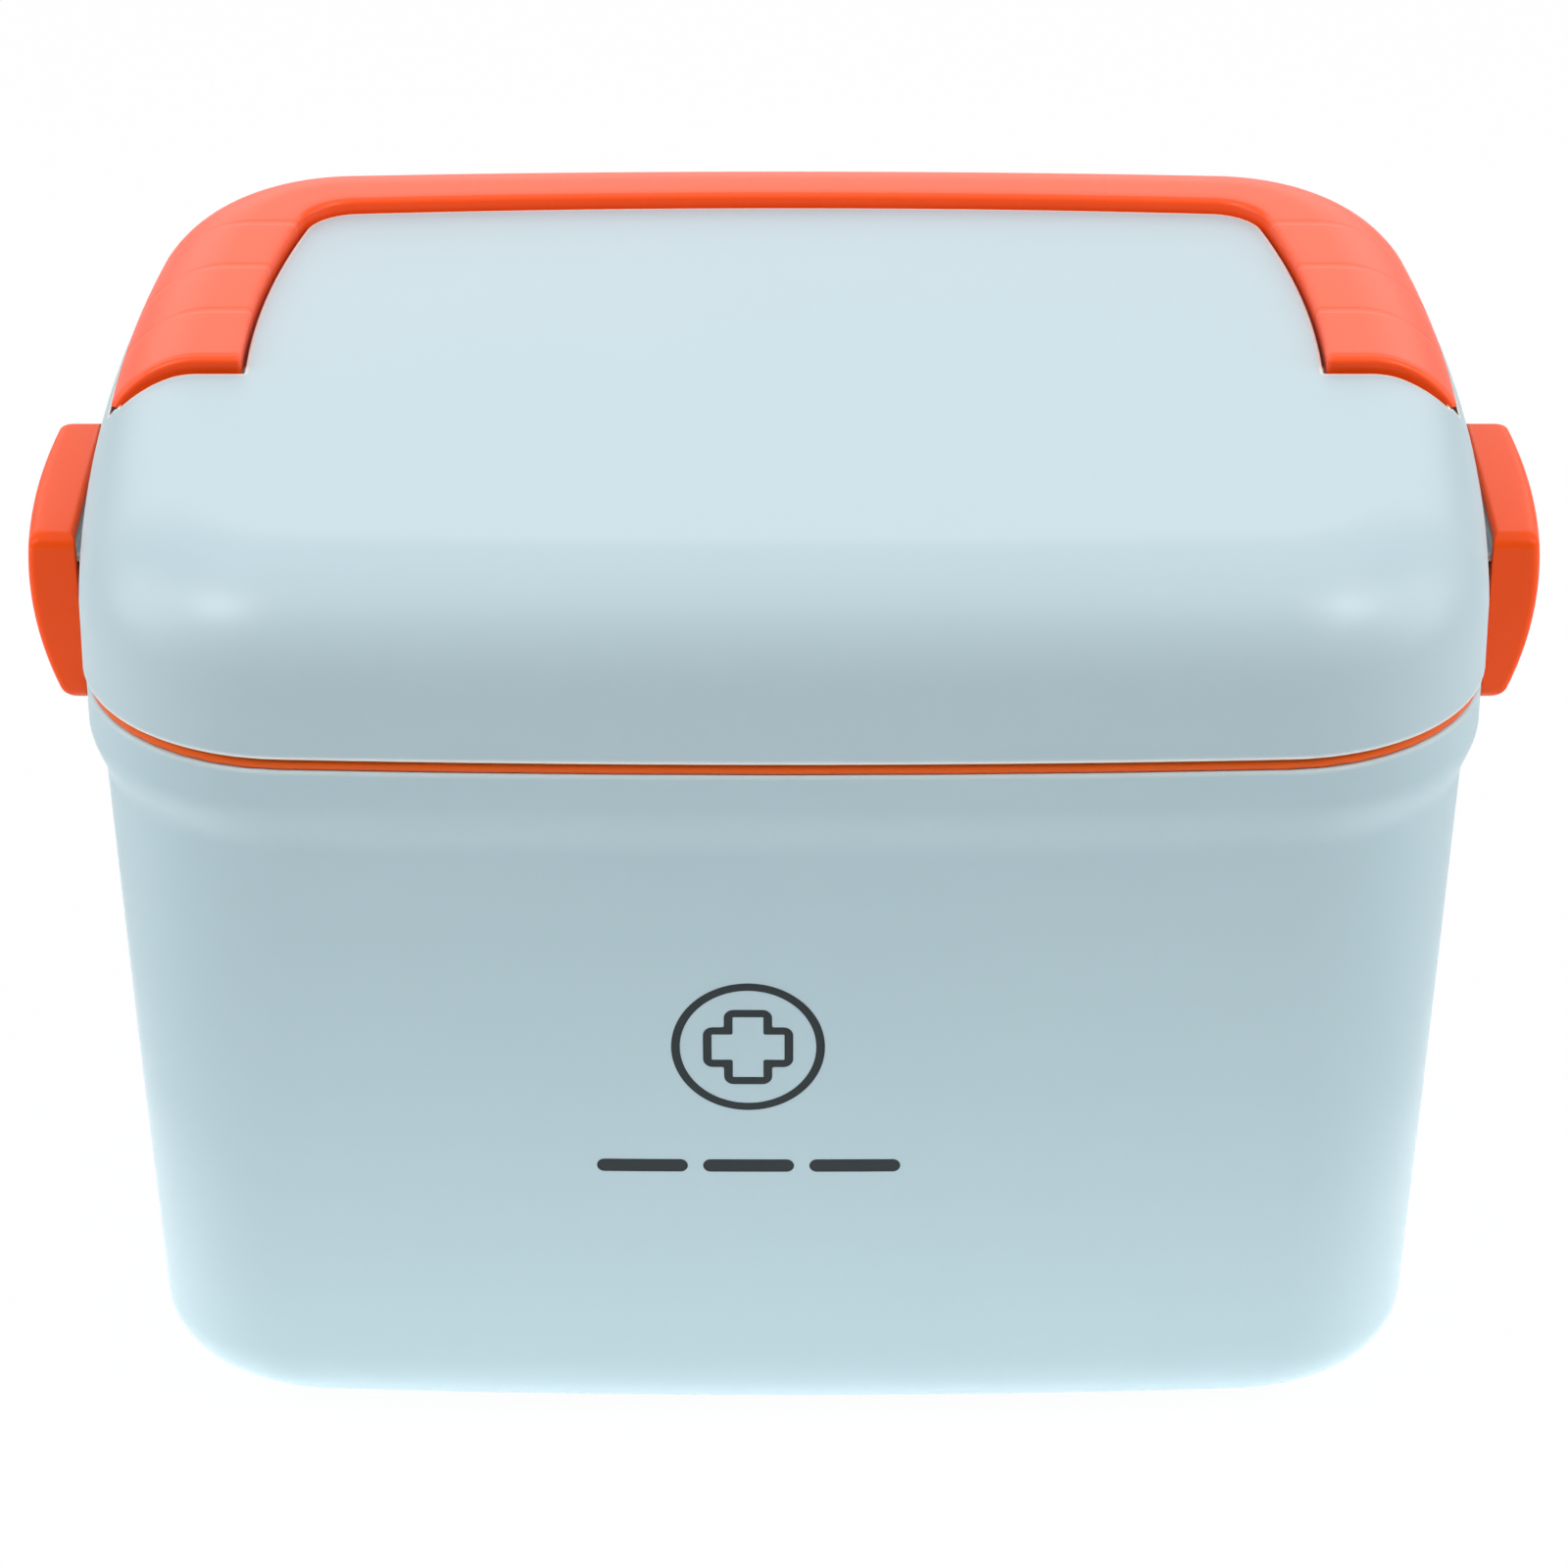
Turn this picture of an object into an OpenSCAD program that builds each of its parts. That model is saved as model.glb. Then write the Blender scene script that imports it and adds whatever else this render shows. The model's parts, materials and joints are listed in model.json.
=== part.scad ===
// Medicine case: a tapered storage box with a lift-out tray, a lift-off lid with a fold-down
// carrying handle, and a latch on each short side.
// The base stands on z = 0, the front faces -Y, and the latches are on -X and +X.

/* [Case outline] */
// Width of the case at the lid's lower edge, without the latches
case_w = 280; // [250:1:330]
// Depth of the case at the lid's lower edge
case_d = 208.6; // [180:1:250]
// Corner radius in plan
corner_r = 43; // [38:1:55]
// How far the short sides bow out at their middle
side_bow = 9.8; // [3:0.1:14]
// How far the front and the back bow out at their middle
front_bow = 4.3; // [2:0.1:8]

/* [Base box] */
// Height of the base box up to its rim
base_h = 159.2; // [120:1:200]
// Wall thickness of the base box
base_wall = 2.4; // [1.8:0.1:3.2]
// Floor thickness of the base box
base_floor = 2.6; // [2:0.1:4]
// Wall taper in degrees
base_draft = 2.05; // [0.5:0.05:3]
// Radius of the bottom edge
bottom_r = 20; // [12:1:24]
// Corner radius of the wall low down
base_corner_r = 28.3; // [27:0.1:36]
// Setback of the rim from the lid's lower edge
rim_inset = 0.5; // [0.3:0.1:1]
// Height of the upright band below the rim
collar_h = 7; // [4:0.5:10]
// Height over which the band flows into the wall
collar_blend = 12.5; // [8:0.5:18]
// How far the wall stands back from the band
collar_step = 2.6; // [1:0.1:4]
// Height of the hollow under the floor, inside the foot ring
foot_h = 1.2; // [0.6:0.1:2]
// Width of the foot ring
foot_w = 5; // [3:0.5:8]
// Length of the rib that a latch hooks under
keeper_len = 22; // [16:1:30]
// How far that rib stands out
keeper_out = 3.3; // [2.8:0.1:3.4]
// Thickness of that rib
keeper_t = 3; // [2:0.1:4]
// Depth of that rib's lower face below the rim
keeper_drop = 6.2; // [5:0.1:6.8]

/* [Inner tray] */
// Depth of the tray below its flange
tray_depth = 52; // [35:1:80]
// Wall thickness of the tray
tray_wall = 1.8; // [1.4:0.1:2.4]
// Thickness of the tray's flange
flange_t = 2.2; // [1.6:0.1:3]
// Setback of the flange's edge from the lid's lower edge
flange_inset = 0.7; // [0.4:0.1:1.5]
// Setback of the tray's wall from the lid's lower edge, under the flange
tray_inset = 7.2; // [6.5:0.1:10]
// Wall taper of the tray in degrees
tray_draft = 3; // [2.4:0.1:5]
// Height of the bead that centres the lid
bead_h = 2.6; // [1.5:0.1:4]
// Thickness of that bead
bead_t = 1.6; // [1.2:0.1:2.4]
// Thickness of the partitions
partition_t = 1.8; // [1.2:0.1:2.4]
// Depth of the low partitions' top below the flange
partition_drop = 8; // [4:1:16]
// Distance between the partitions of the front row
front_pitch = 88; // [70:1:100]
// Length of the tray's grip
grip_len = 120; // [100:1:150]
// Height of the grip above the flange
grip_h = 16; // [8:1:22]
// Thickness of the grip
grip_t = 5; // [3:0.5:6]
// Length of the finger hole in the grip
grip_hole_len = 88; // [70:1:95]
// Height of the finger hole in the grip
grip_hole_h = 22; // [18:1:26]
// Height of the bar over the finger hole
grip_bar_h = 5; // [4:0.5:6]
// Corner radius of the grip's ends
grip_end_r = 12; // [8:1:16]
// Rounding of the tray's bottom edge
tray_edge_r = 6; // [4:0.5:8]

/* [Lid] */
// Height of the lid's top panel above its lower edge
lid_h = 36.4; // [32:0.1:44]
// Height of the lid's upright wall
lid_wall_h = 13; // [8:0.5:16]
// Wall thickness of the lid
lid_wall = 2.4; // [1.8:0.1:3]
// Radius of the lid's shoulder
shoulder_r = 23.7; // [23.5:0.1:36]
// Taper of the lid's upright wall in degrees
lid_draft = 0.7; // [0:0.1:2]
// Width of the step round the back half of the lid, measured in from the lid's edge
step_w = 32; // [28:0.5:36]
// Height of the step's floor above the lid's lower edge
step_floor = 28; // [26:0.5:30]
// Rounding of the lid's lower edge
lid_edge_r = 0.6; // [0.3:0.1:1]

/* [Handle] */
// How far the handle's top stands above the lid's panel
handle_proud = 2.8; // [0:0.1:4]
// Horizontal length of the curve on the handle's outer edge
handle_round_w = 22.9; // [16:0.1:26]
// Height of the curve on the handle's outer edge
handle_round_h = 27.5; // [20:0.5:30]
// Gap between the handle and the step's upright side
handle_gap = 0.9; // [0.5:0.1:1.6]
// Wall thickness of the handle
handle_wall = 2.6; // [2:0.1:3.4]
// Distance of the arms' front ends ahead of the pivot
arm_front = 8.5; // [7:0.1:9.5]
// Height of the pivot above the lid's lower edge
pivot_z = 31; // [30.5:0.1:31.2]
// Length of the solid arm end behind the pivot
arm_solid = 11; // [9:1:16]
// Rounding of the arms' front top edge
arm_edge_r = 1.5; // [1:0.1:2]
// Distance between the ribs inside the handle's bar
rib_pitch = 19.4; // [16:0.1:30]
// Distance between the ribs inside the handle's arms
arm_rib_pitch = 22; // [18:0.5:30]
// Distance of the first of those ribs behind the solid arm end
arm_rib_start = 3.4; // [2:0.1:8]
// Thickness of the ribs inside the handle
rib_t = 1.6; // [1.2:0.1:2.4]
// Diameter of the handle's pivot pins
handle_pin_d = 4; // [3:0.1:4.4]
// Length of a pivot pin without its head
handle_pin_len = 25; // [20:0.5:28]
// Diameter of a pivot pin's head
handle_pin_head_d = 5.6; // [4.8:0.1:5.8]
// Thickness of a pivot pin's head
handle_pin_head_t = 1.4; // [1:0.1:2]
// Length of the boss that holds a pivot pin, behind the step's side
pin_boss_len = 7; // [5:0.5:10]
// Half the width of that boss
pin_boss_w = 6; // [5:0.5:8]

/* [Latches] */
// How far a latch stands out from the lid's lower edge
latch_out = 13.1; // [11:0.1:15]
// Radius of the latch's bowed face, seen from the front
latch_face_r = 75; // [55:1:90]
// Radius of the latch's bowed face, seen from above
latch_bow_r = 250; // [180:10:400]
// Height of the face's widest point above the lid's lower edge
latch_crown_z = -1.9; // [-6:0.1:0]
// Height of the latch's top above the lid's lower edge
latch_top = 8.4; // [8:0.1:9.4]
// Depth of the latch's tip below the lid's lower edge
latch_tip = 30.2; // [26:0.1:36]
// Width of a latch at its top
latch_w = 54; // [48:1:60]
// Width of a latch at its tip
latch_tip_w = 50; // [44:0.5:54]
// Wall thickness of a latch
latch_wall = 2.4; // [1.8:0.1:2.8]
// Gap between the latch's side edges and the lid's lower edge
latch_edge_gap = 2; // [1.6:0.1:2.4]
// Rounding of the edges round the latch's face
latch_edge_r = 1.8; // [1:0.1:2.2]
// Rounding of the latch's top and tip, seen from the side
latch_end_r = 3; // [2:0.5:5]
// Rounding of the latch's top and tip, seen from the front
latch_tip_r = 2.4; // [1.5:0.1:3.2]
// Rounding of the latch's top edge next to the lid
latch_back_r = 1.5; // [1.3:0.1:1.8]
// Thickness of the latch's top wall
latch_cap_t = 1.5; // [1.2:0.1:1.8]
// Thickness left over the blind end of the latch's pin hole
cheek_blind = 0.8; // [0.6:0.1:1.2]
// Distance of the latch's hinge outside the lid's lower edge
hinge_out = 4.5; // [4.4:0.1:5]
// Diameter of the latch's hinge pin
hinge_pin_d = 2; // [1.6:0.1:2.2]
// Outer diameter of the lid's hinge lug
lug_d = 4; // [3.6:0.1:4.2]
// Depth of the lug's upper side below the hinge, at the lid's wall
lug_drop = 1.6; // [1.4:0.1:2]
// Thickness of the latch's hook
hook_t = 3; // [2:0.1:4]
// How far the hook reaches in under the keeper rib
hook_reach = 2.3; // [1.5:0.1:3]
// Length of the hook
hook_len = 18; // [12:1:21]

/* [Fits] */
// Gap between flat faces that rest on each other
seat_gap = 0.2; // [0.1:0.05:0.4]
// Gap between parts that move past each other
run_gap = 0.4; // [0.3:0.05:0.6]
// Gap between the latch's hook and the rib over it
hook_gap = 0.3; // [0.2:0.05:0.5]
// Gap beyond the ends of a pin in a blind hole
pin_end_gap = 0.3; // [0.2:0.1:0.5]
// Gap at the side of a pin in the part that it holds
pin_tight = 0.02; // [0.01:0.01:0.04]
// Gap at the side of a pin in the part that turns on it
pin_free = 0.06; // [0.03:0.01:0.1]

/* [Detail] */
// Points along a quarter of each short side
side_n = 3; // [3:1:8]
// Points round each corner
corner_n = 9; // [6:1:16]
// Points along a quarter of the front and back
front_n = 3; // [3:1:8]
// Rings of points over a rounded edge
edge_n = 6; // [4:1:12]

/* [Hidden] */

pale_blue = "#CFE3EA";
orange = "#F0561E";
steel = "#B9BCC0";

half_w = case_w / 2;
half_d = case_d / 2;
flange_z = base_h + seat_gap;
lid_z = flange_z + flange_t + seat_gap;
wall_top_inset = rim_inset + collar_step;
wall_top_z = base_h - collar_h - collar_blend;
round_n = 48;
over = 1;
lip = 0.3;
shoulder_inset = lid_wall_h * tan(lid_draft);
shoulder_angle = asin((lid_h - lid_wall_h) / shoulder_r);
bottom_inset = base_inset(bottom_r);
rim_round = 0.8;
floor_r = bottom_r - base_wall;
floor_z = foot_h + base_floor;
tray_floor_z = flange_z - tray_depth;
bead_inset = lid_wall + seat_gap + run_gap;
handle_h = lid_h + handle_proud;
handle_foot = step_floor + run_gap / 2;
arm_inner_x = half_w - step_w + handle_gap;
arm_outer_x = half_w - handle_inset(handle_foot);
arm_corner_r = norm([arm_front - arm_edge_r, lid_h + handle_proud - pivot_z - arm_edge_r]) + arm_edge_r;
arm_clear_r = arm_corner_r + run_gap / 2;
arm_front_slack = arm_clear_r - sqrt(pow(arm_clear_r, 2) - pow(lid_h - pivot_z, 2));
arm_heel_r = norm([arm_front, pivot_z - handle_foot]) + run_gap;
hinge_z = latch_top - latch_cap_t - run_gap - lug_d / 2;
cheek_in = latch_half_w(hinge_z) - latch_wall;
lug_w = 2 * (latch_half_w(hinge_z + lug_d / 2) - latch_wall - run_gap);
pin_head_x = half_w - step_w - lid_wall - pin_boss_len - seat_gap / 2;
pin_tip_x = pin_head_x + handle_pin_len;
latch_face_x = half_w + latch_out;
latch_steps = 16;
round_q = 4;
bow_n = 6;
hook_z = base_h - keeper_drop - hook_gap - hook_t;

// The outline of the case in plan, as arcs that meet smoothly
function bow_r(half_len, bow) = (half_len * half_len + bow * bow) / (2 * bow);

function corner_centre(a, b, r, rs, rf) =
    let (
        c1 = [a - rs, 0],
        c2 = [0, b - rf],
        gap = norm(c2 - c1),
        along = (gap * gap + pow(rs - r, 2) - pow(rf - r, 2)) / (2 * gap),
        across = sqrt(max(pow(rs - r, 2) - along * along, 0)),
        u = (c2 - c1) / gap
    )
    c1 + u * along + [-u[1], u[0]] * across;

function quarter(a, b, r) =
    let (
        rs = bow_r(b, side_bow),
        rf = bow_r(a, front_bow),
        c = corner_centre(a, b, r, rs, rf),
        t1 = atan2(c[1], c[0] - a + rs),
        t2 = atan2(c[1] - b + rf, c[0])
    )
    concat(
        [for (i = [0:side_n - 1]) [a - rs, 0] + rs * unit(t1 * i / side_n)],
        [for (i = [0:corner_n - 1]) c + r * unit(t1 + (t2 - t1) * i / corner_n)],
        [for (i = [0:front_n - 1]) [0, b - rf] + rf * unit(t2 + (90 - t2) * i / front_n)]
    );

function unit(angle) = [cos(angle), sin(angle)];

function outline(inset, r) =
    let (
        a = half_w - inset,
        b = half_d - inset,
        q = quarter(a, b, r),
        n = len(q),
        half = concat(q, [[0, b]], [for (i = [1:n - 1]) [-q[n - i][0], q[n - i][1]]])
    )
    concat(half, [for (p = half) -p]);

function lid_outline(inset) = outline(inset, max(corner_r - inset, 3));

function ring(points, z) = [for (p = points) [p[0], p[1], z]];

// A closed skin over a stack of rings; a shell's rings run up its outside and down its inside
module skin(rings) {
    n = len(rings[0]);
    last = len(rings) - 1;
    polyhedron(
        points = [for (r = rings) each r],
        faces = concat(
            [[for (i = [0:n - 1]) i]],
            [for (k = [0:last - 1], i = [0:n - 1])
                each [[k * n + i, (k + 1) * n + i, (k + 1) * n + (i + 1) % n],
                      [k * n + i, (k + 1) * n + (i + 1) % n, k * n + (i + 1) % n]]],
            [[for (i = [n - 1:-1:0]) last * n + i]]
        )
    );
}

// Base box
function smooth(t) = t * t * (3 - 2 * t);

function base_inset(z) =
    z > base_h - collar_h ? rim_inset
    : z > wall_top_z ? rim_inset + collar_step * smooth((base_h - collar_h - z) / collar_blend)
    : wall_top_inset + (wall_top_z - z) * tan(base_draft);

function base_r(z) =
    let (t = min(max((wall_top_z - z) / (wall_top_z / 2), 0), 1))
    (corner_r - wall_top_inset) * (1 - t) + base_corner_r * t;

function base_ring(z, in = 0) = ring(outline(base_inset(z) + in, base_r(z) - in), z);

module base_shell() {
    foot_edge = bottom_inset + bottom_r;
    skin(concat(
        [ring(outline(foot_edge + foot_w + foot_h, base_corner_r - foot_w - foot_h), foot_h)],
        [ring(outline(foot_edge + foot_w, base_corner_r - foot_w), 0)],
        [for (i = [0:edge_n - 1])
            let (t = 90 * (1 - i / edge_n))
            ring(outline(bottom_inset + bottom_r * (1 - cos(t)), base_corner_r), bottom_r * (1 - sin(t)))],
        [for (z = [bottom_r, wall_top_z / 2, wall_top_z]) base_ring(z)],
        [for (i = [1:edge_n - 1]) base_ring(wall_top_z + collar_blend * i / (edge_n - 1))],
        [for (i = [0:2])
            let (t = 45 * i, in = rim_inset + rim_round * (1 - cos(t)))
            ring(outline(in, corner_r - in), base_h - rim_round * (1 - sin(t)))],
        [ring(outline(rim_inset + base_wall, corner_r - rim_inset - base_wall), base_h)],
        [for (i = [edge_n - 3:-1:0]) base_ring(wall_top_z + collar_blend * i / (edge_n - 3), base_wall)],
        [for (z = [wall_top_z / 2, floor_z + floor_r]) base_ring(z, base_wall)],
        [for (i = [1:edge_n - 2])
            let (t = 90 * i / (edge_n - 2))
            ring(outline(base_inset(floor_z + floor_r) + base_wall + floor_r * (1 - cos(t)),
                         base_corner_r - base_wall), floor_z + floor_r * (1 - sin(t)))]
    ));
}

module keeper() {
    in = half_w - rim_inset - base_wall / 2;
    translate([in, -keeper_len / 2, base_h - keeper_drop])
        cube([half_w - rim_inset + keeper_out - in, keeper_len, keeper_t]);
}

module base_box() {
    color(pale_blue) union() {
        base_shell();
        keeper();
        mirror([1, 0, 0]) keeper();
    }
}

// Inner tray

function tray_ring(z, in = 0) =
    let (inset = tray_inset + (flange_z - z) * tan(tray_draft) + in)
    ring(outline(inset, corner_r - tray_inset - in), z);

module tray_shell() {
    top = flange_z + flange_t;
    tray_n = edge_n / 2;
    skin(concat(
        [for (i = [0:tray_n])
            let (t = 90 * (1 - i / tray_n), z = tray_floor_z + tray_edge_r * (1 - sin(t)))
            tray_ring(z, tray_edge_r * (1 - cos(t)))],
        [ring(outline(tray_inset, corner_r - tray_inset), flange_z)],
        [ring(lid_outline(flange_inset + lip), flange_z)],
        [ring(lid_outline(flange_inset), flange_z + 2 * lip)],
        [ring(lid_outline(flange_inset), top - 2 * lip)],
        [ring(lid_outline(flange_inset + lip), top)],
        [ring(lid_outline(bead_inset), top)],
        [ring(lid_outline(bead_inset + lip), top + bead_h)],
        [ring(lid_outline(bead_inset + bead_t), top + bead_h)],
        [ring(lid_outline(bead_inset + bead_t + lip), top)],
        [ring(lid_outline(tray_inset + tray_wall), top - lip)],
        [for (i = [0:tray_n])
            let (t = 90 * i / tray_n, z = tray_floor_z + tray_wall + (tray_edge_r - tray_wall) * (1 - sin(t)))
            tray_ring(z, tray_wall + (tray_edge_r - tray_wall) * (1 - cos(t)))]
    ));
}

// The part of the tray's inside between its floor and the given height, to end partitions at
module tray_inside(top) {
    skin([tray_ring(tray_floor_z + tray_wall / 2, tray_wall / 2 + tray_edge_r),
          tray_ring(tray_floor_z + tray_edge_r, tray_wall / 2),
          tray_ring(top, tray_wall / 2)]);
}

module partitions() {
    top = flange_z - partition_drop;
    h = top - tray_floor_z;
    intersection() {
        tray_inside(top);
        translate([0, 0, tray_floor_z]) {
            translate([-half_w, -partition_t / 2, 0])
                cube([case_w, partition_t, h]);
            for (x = [-front_pitch / 2, front_pitch / 2])
                translate([x - partition_t / 2, -half_d, 0])
                    cube([partition_t, half_d, h]);
            translate([-partition_t / 2, 0, 0])
                cube([partition_t, half_d, h]);
        }
    }
}

module grip() {
    top = flange_z + flange_t + grip_h;
    foot = tray_floor_z + tray_wall / 2;
    hole_r = grip_hole_h / 2;
    rotate([90, 0, 0])
        linear_extrude(grip_t, center = true)
            difference() {
                union() {
                    translate([-grip_len / 2, foot]) square([grip_len, top - grip_end_r - foot]);
                    translate([-grip_len / 2 + grip_end_r, foot]) square([grip_len - 2 * grip_end_r, top - foot]);
                    for (s = [-1, 1])
                        translate([s * (grip_len / 2 - grip_end_r), top - grip_end_r])
                            circle(grip_end_r, $fn = round_n);
                }
                for (s = [-1, 1])
                    translate([s * (grip_hole_len / 2 - hole_r), top - grip_bar_h - hole_r])
                        circle(hole_r, $fn = round_n);
                translate([-grip_hole_len / 2 + hole_r, top - grip_bar_h - grip_hole_h])
                    square([grip_hole_len - grip_hole_h, grip_hole_h]);
            }
}

module inner_tray() {
    color(orange) union() {
        tray_shell();
        partitions();
        grip();
    }
}

// Lid

module lid_outside() {
    skin(concat(
        [ring(lid_outline(lid_edge_r), lid_z)],
        [ring(lid_outline(0), lid_z + lid_edge_r)],
        [for (i = [0:(edge_n + 2)])
            let (t = shoulder_angle * i / (edge_n + 2))
            ring(lid_outline(shoulder_inset + shoulder_r * (1 - cos(t))), lid_z + lid_wall_h + shoulder_r * sin(t))]
    ));
}

module lid_inside() {
    r = shoulder_r - lid_wall;
    ceiling = lid_h - lid_wall;
    angle = asin(min((ceiling - lid_wall_h) / r, 1));
    skin(concat(
        [ring(lid_outline(lid_wall), lid_z - over)],
        [for (i = [0:edge_n])
            let (t = angle * i / edge_n)
            ring(lid_outline(shoulder_inset + lid_wall + r * (1 - cos(t))), lid_z + lid_wall_h + r * sin(t))]
    ));
}

// The step that the handle lies in, open to the back and the sides; grow widens it by a wall
module step_space(grow = 0) {
    translate([0, 0, lid_z + step_floor - grow])
        linear_extrude(lid_h)
            difference() {
                translate([-case_w, -arm_clear_r - grow + arm_front_slack + lip])
                    square([2 * case_w, 2 * case_d]);
                polygon(lid_outline(step_w + grow));
            }
}

// The room that the arm's end needs to turn in, on the +X side
module arm_space(grow = 0) {
    translate([half_w - step_w - grow, 0, lid_z + pivot_z])
        rotate([0, 90, 0]) {
            cylinder(r = arm_clear_r + grow, h = arm_outer_x - lid_wall - half_w + step_w + 2 * grow, $fn = round_n);
            cylinder(r = arm_heel_r + grow, h = arm_outer_x + run_gap - half_w + step_w + grow, $fn = round_n);
        }
}

// The lug on the lid's wall that holds a latch's pin; it slopes down to the wall, clear of the
// latch's top wall when the latch swings open
module lug() {
    x = half_w + hinge_out;
    z = lid_z + hinge_z;
    r = lug_d / 2;
    foot_x = half_w - lid_wall / 2;
    rise = 40;
    fall = 300;
    translate([0, lug_w / 2, 0])
        rotate([90, 0, 0])
            linear_extrude(lug_w) {
                translate([x, z]) circle(r, $fn = round_n);
                polygon([
                    [foot_x, lid_z + lip],
                    [x + r * cos(fall), z + r * sin(fall)],
                    [x - r * cos(rise), z - r * sin(rise)],
                    [foot_x, z - lug_drop]
                ]);
            }
}

module pin_boss() {
    x = half_w - step_w - lid_wall;
    translate([x - pin_boss_len, -pin_boss_w, lid_z + pivot_z - pin_boss_w])
        cube([pin_boss_len + over, 2 * pin_boss_w, 2 * pin_boss_w]);
}

module on_both_sides() {
    children();
    mirror([1, 0, 0]) children();
}

module lid() {
    color(pale_blue) difference() {
        union() {
            difference() {
                lid_outside();
                step_space();
                on_both_sides() arm_space();
            }
            on_both_sides() lug();
        }
        difference() {
            lid_inside();
            step_space(lid_wall);
            on_both_sides() {
                arm_space(lid_wall);
                pin_boss();
            }
        }
        on_both_sides() {
            translate([half_w - step_w - lid_wall - pin_boss_len - over, 0, lid_z + pivot_z])
                rotate([0, 90, 0])
                    cylinder(d = handle_pin_d + 2 * pin_tight, h = pin_boss_len + lid_wall + 2 * over, $fn = round_n);
            translate([half_w + hinge_out, -lug_w / 2 - over, lid_z + hinge_z])
                rotate([-90, 0, 0])
                    cylinder(d = hinge_pin_d + 2 * pin_tight, h = lug_w + 2 * over, $fn = round_n);
        }
    }
}

// Handle

// Setback of the handle's outside at a height above the lid's lower edge
function handle_inset(h) =
    handle_round_w * (1 - sqrt(max(1 - pow((h - handle_h + handle_round_h) / handle_round_h, 2), 0)));

// The handle's outer form between its foot and its top, thinner by the given wall
module handle_outside(wall = 0) {
    low = asin((handle_foot - handle_h + handle_round_h) / handle_round_h);
    skin(concat(
        wall > 0 ? [ring(lid_outline(handle_inset(handle_foot) + wall), lid_z + handle_foot - wall - over)] : [],
        [for (i = [0:(edge_n + 2)])
            let (t = low + (90 - low) * i / (edge_n + 2))
            ring(lid_outline(wall + handle_round_w * (1 - cos(t))),
                 lid_z + handle_h - wall - (handle_round_h - wall) * (1 - sin(t)))]
    ));
}

module handle_ribs() {
    z = lid_z + handle_foot + rib_t / 2;
    for (i = [-4:3])
        translate([(i + 0.5) * rib_pitch - rib_t / 2, 0, z])
            cube([rib_t, case_d, lid_h]);
    for (i = [0:2])
        translate([-half_w, arm_solid + arm_rib_start + i * arm_rib_pitch - rib_t / 2, z])
            cube([case_w, rib_t, lid_h]);
}

module inner_island(inset) {
    translate([0, 0, lid_z])
        linear_extrude(2 * lid_h)
            polygon(lid_outline(inset));
}

// The handle without its hollow: a U-shaped bail, open to the front
module handle_form() {
    difference() {
        handle_outside();
        inner_island(step_w - handle_gap);
        translate([-case_w, -case_d - arm_front, lid_z])
            cube([2 * case_w, case_d, 2 * lid_h]);
        translate([-case_w, -arm_front - over, lid_z + handle_h - arm_edge_r])
            difference() {
                cube([2 * case_w, arm_edge_r + over, arm_edge_r + over]);
                translate([-over, arm_edge_r + over, 0])
                    rotate([0, 90, 0])
                        cylinder(r = arm_edge_r, h = 3 * case_w, $fn = round_n);
            }
    }
}

// The space between the handle's walls, behind its solid arm ends
module handle_inside(wall, end_y) {
    difference() {
        handle_outside(wall);
        inner_island(step_w - handle_gap - wall);
        translate([-case_w, end_y - case_d, lid_z])
            cube([2 * case_w, case_d, 2 * lid_h]);
    }
}

module handle() {
    color(orange) difference() {
        union() {
            difference() {
                handle_form();
                handle_inside(handle_wall, arm_solid);
            }
            intersection() {
                handle_inside(handle_wall / 2, arm_solid - over);
                handle_ribs();
            }
        }
        on_both_sides()
            translate([arm_inner_x - over, 0, lid_z + pivot_z])
                rotate([0, 90, 0])
                    cylinder(d = handle_pin_d + 2 * pin_free,
                             h = pin_tip_x + pin_end_gap - arm_inner_x + over, $fn = round_n);
    }
}

module handle_pin() {
    color(steel)
        translate([pin_head_x, 0, lid_z + pivot_z])
            rotate([0, 90, 0])
                union() {
                    cylinder(d = handle_pin_d, h = handle_pin_len, $fn = round_n);
                    translate([0, 0, -handle_pin_head_t])
                        cylinder(d = handle_pin_head_d, h = handle_pin_head_t, $fn = round_n);
                }
}

module handle_pin_left() {
    mirror([1, 0, 0]) handle_pin();
}

module handle_pin_right() {
    handle_pin();
}

// Latches, drawn on the +X side

// What the rounding of the latch's top and tip leaves of a radius at a height
function latch_left_over(h, r) =
    let (cut = max(r - min(latch_top - h, h + latch_tip), 0))
    sqrt(max(r * r - cut * cut, 0));

// Half the width of the latch at a height above the lid's lower edge
function latch_half_w(h) =
    latch_w / 2 - (latch_top - h) * (latch_w - latch_tip_w) / 2 / (latch_top + latch_tip)
    - latch_end_r + latch_left_over(h, latch_end_r);

// The middle of the latch's bowed face, measured from the middle of the case
function latch_face(h) =
    latch_face_x - latch_face_r + sqrt(pow(latch_face_r, 2) - pow(h - latch_crown_z, 2))
    - latch_tip_r + latch_left_over(h, latch_tip_r);

// How far the face falls back towards the cheeks
function latch_bow(y) = latch_bow_r - sqrt(pow(latch_bow_r, 2) - y * y);

// The latch's side edges, rounded off at the top so that they clear the lid as the latch turns
function latch_edge(h) =
    let (cut = max(latch_back_r - latch_top + h, 0))
    half_w + latch_edge_gap + latch_back_r - sqrt(max(pow(latch_back_r, 2) - cut * cut, 0));

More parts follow.
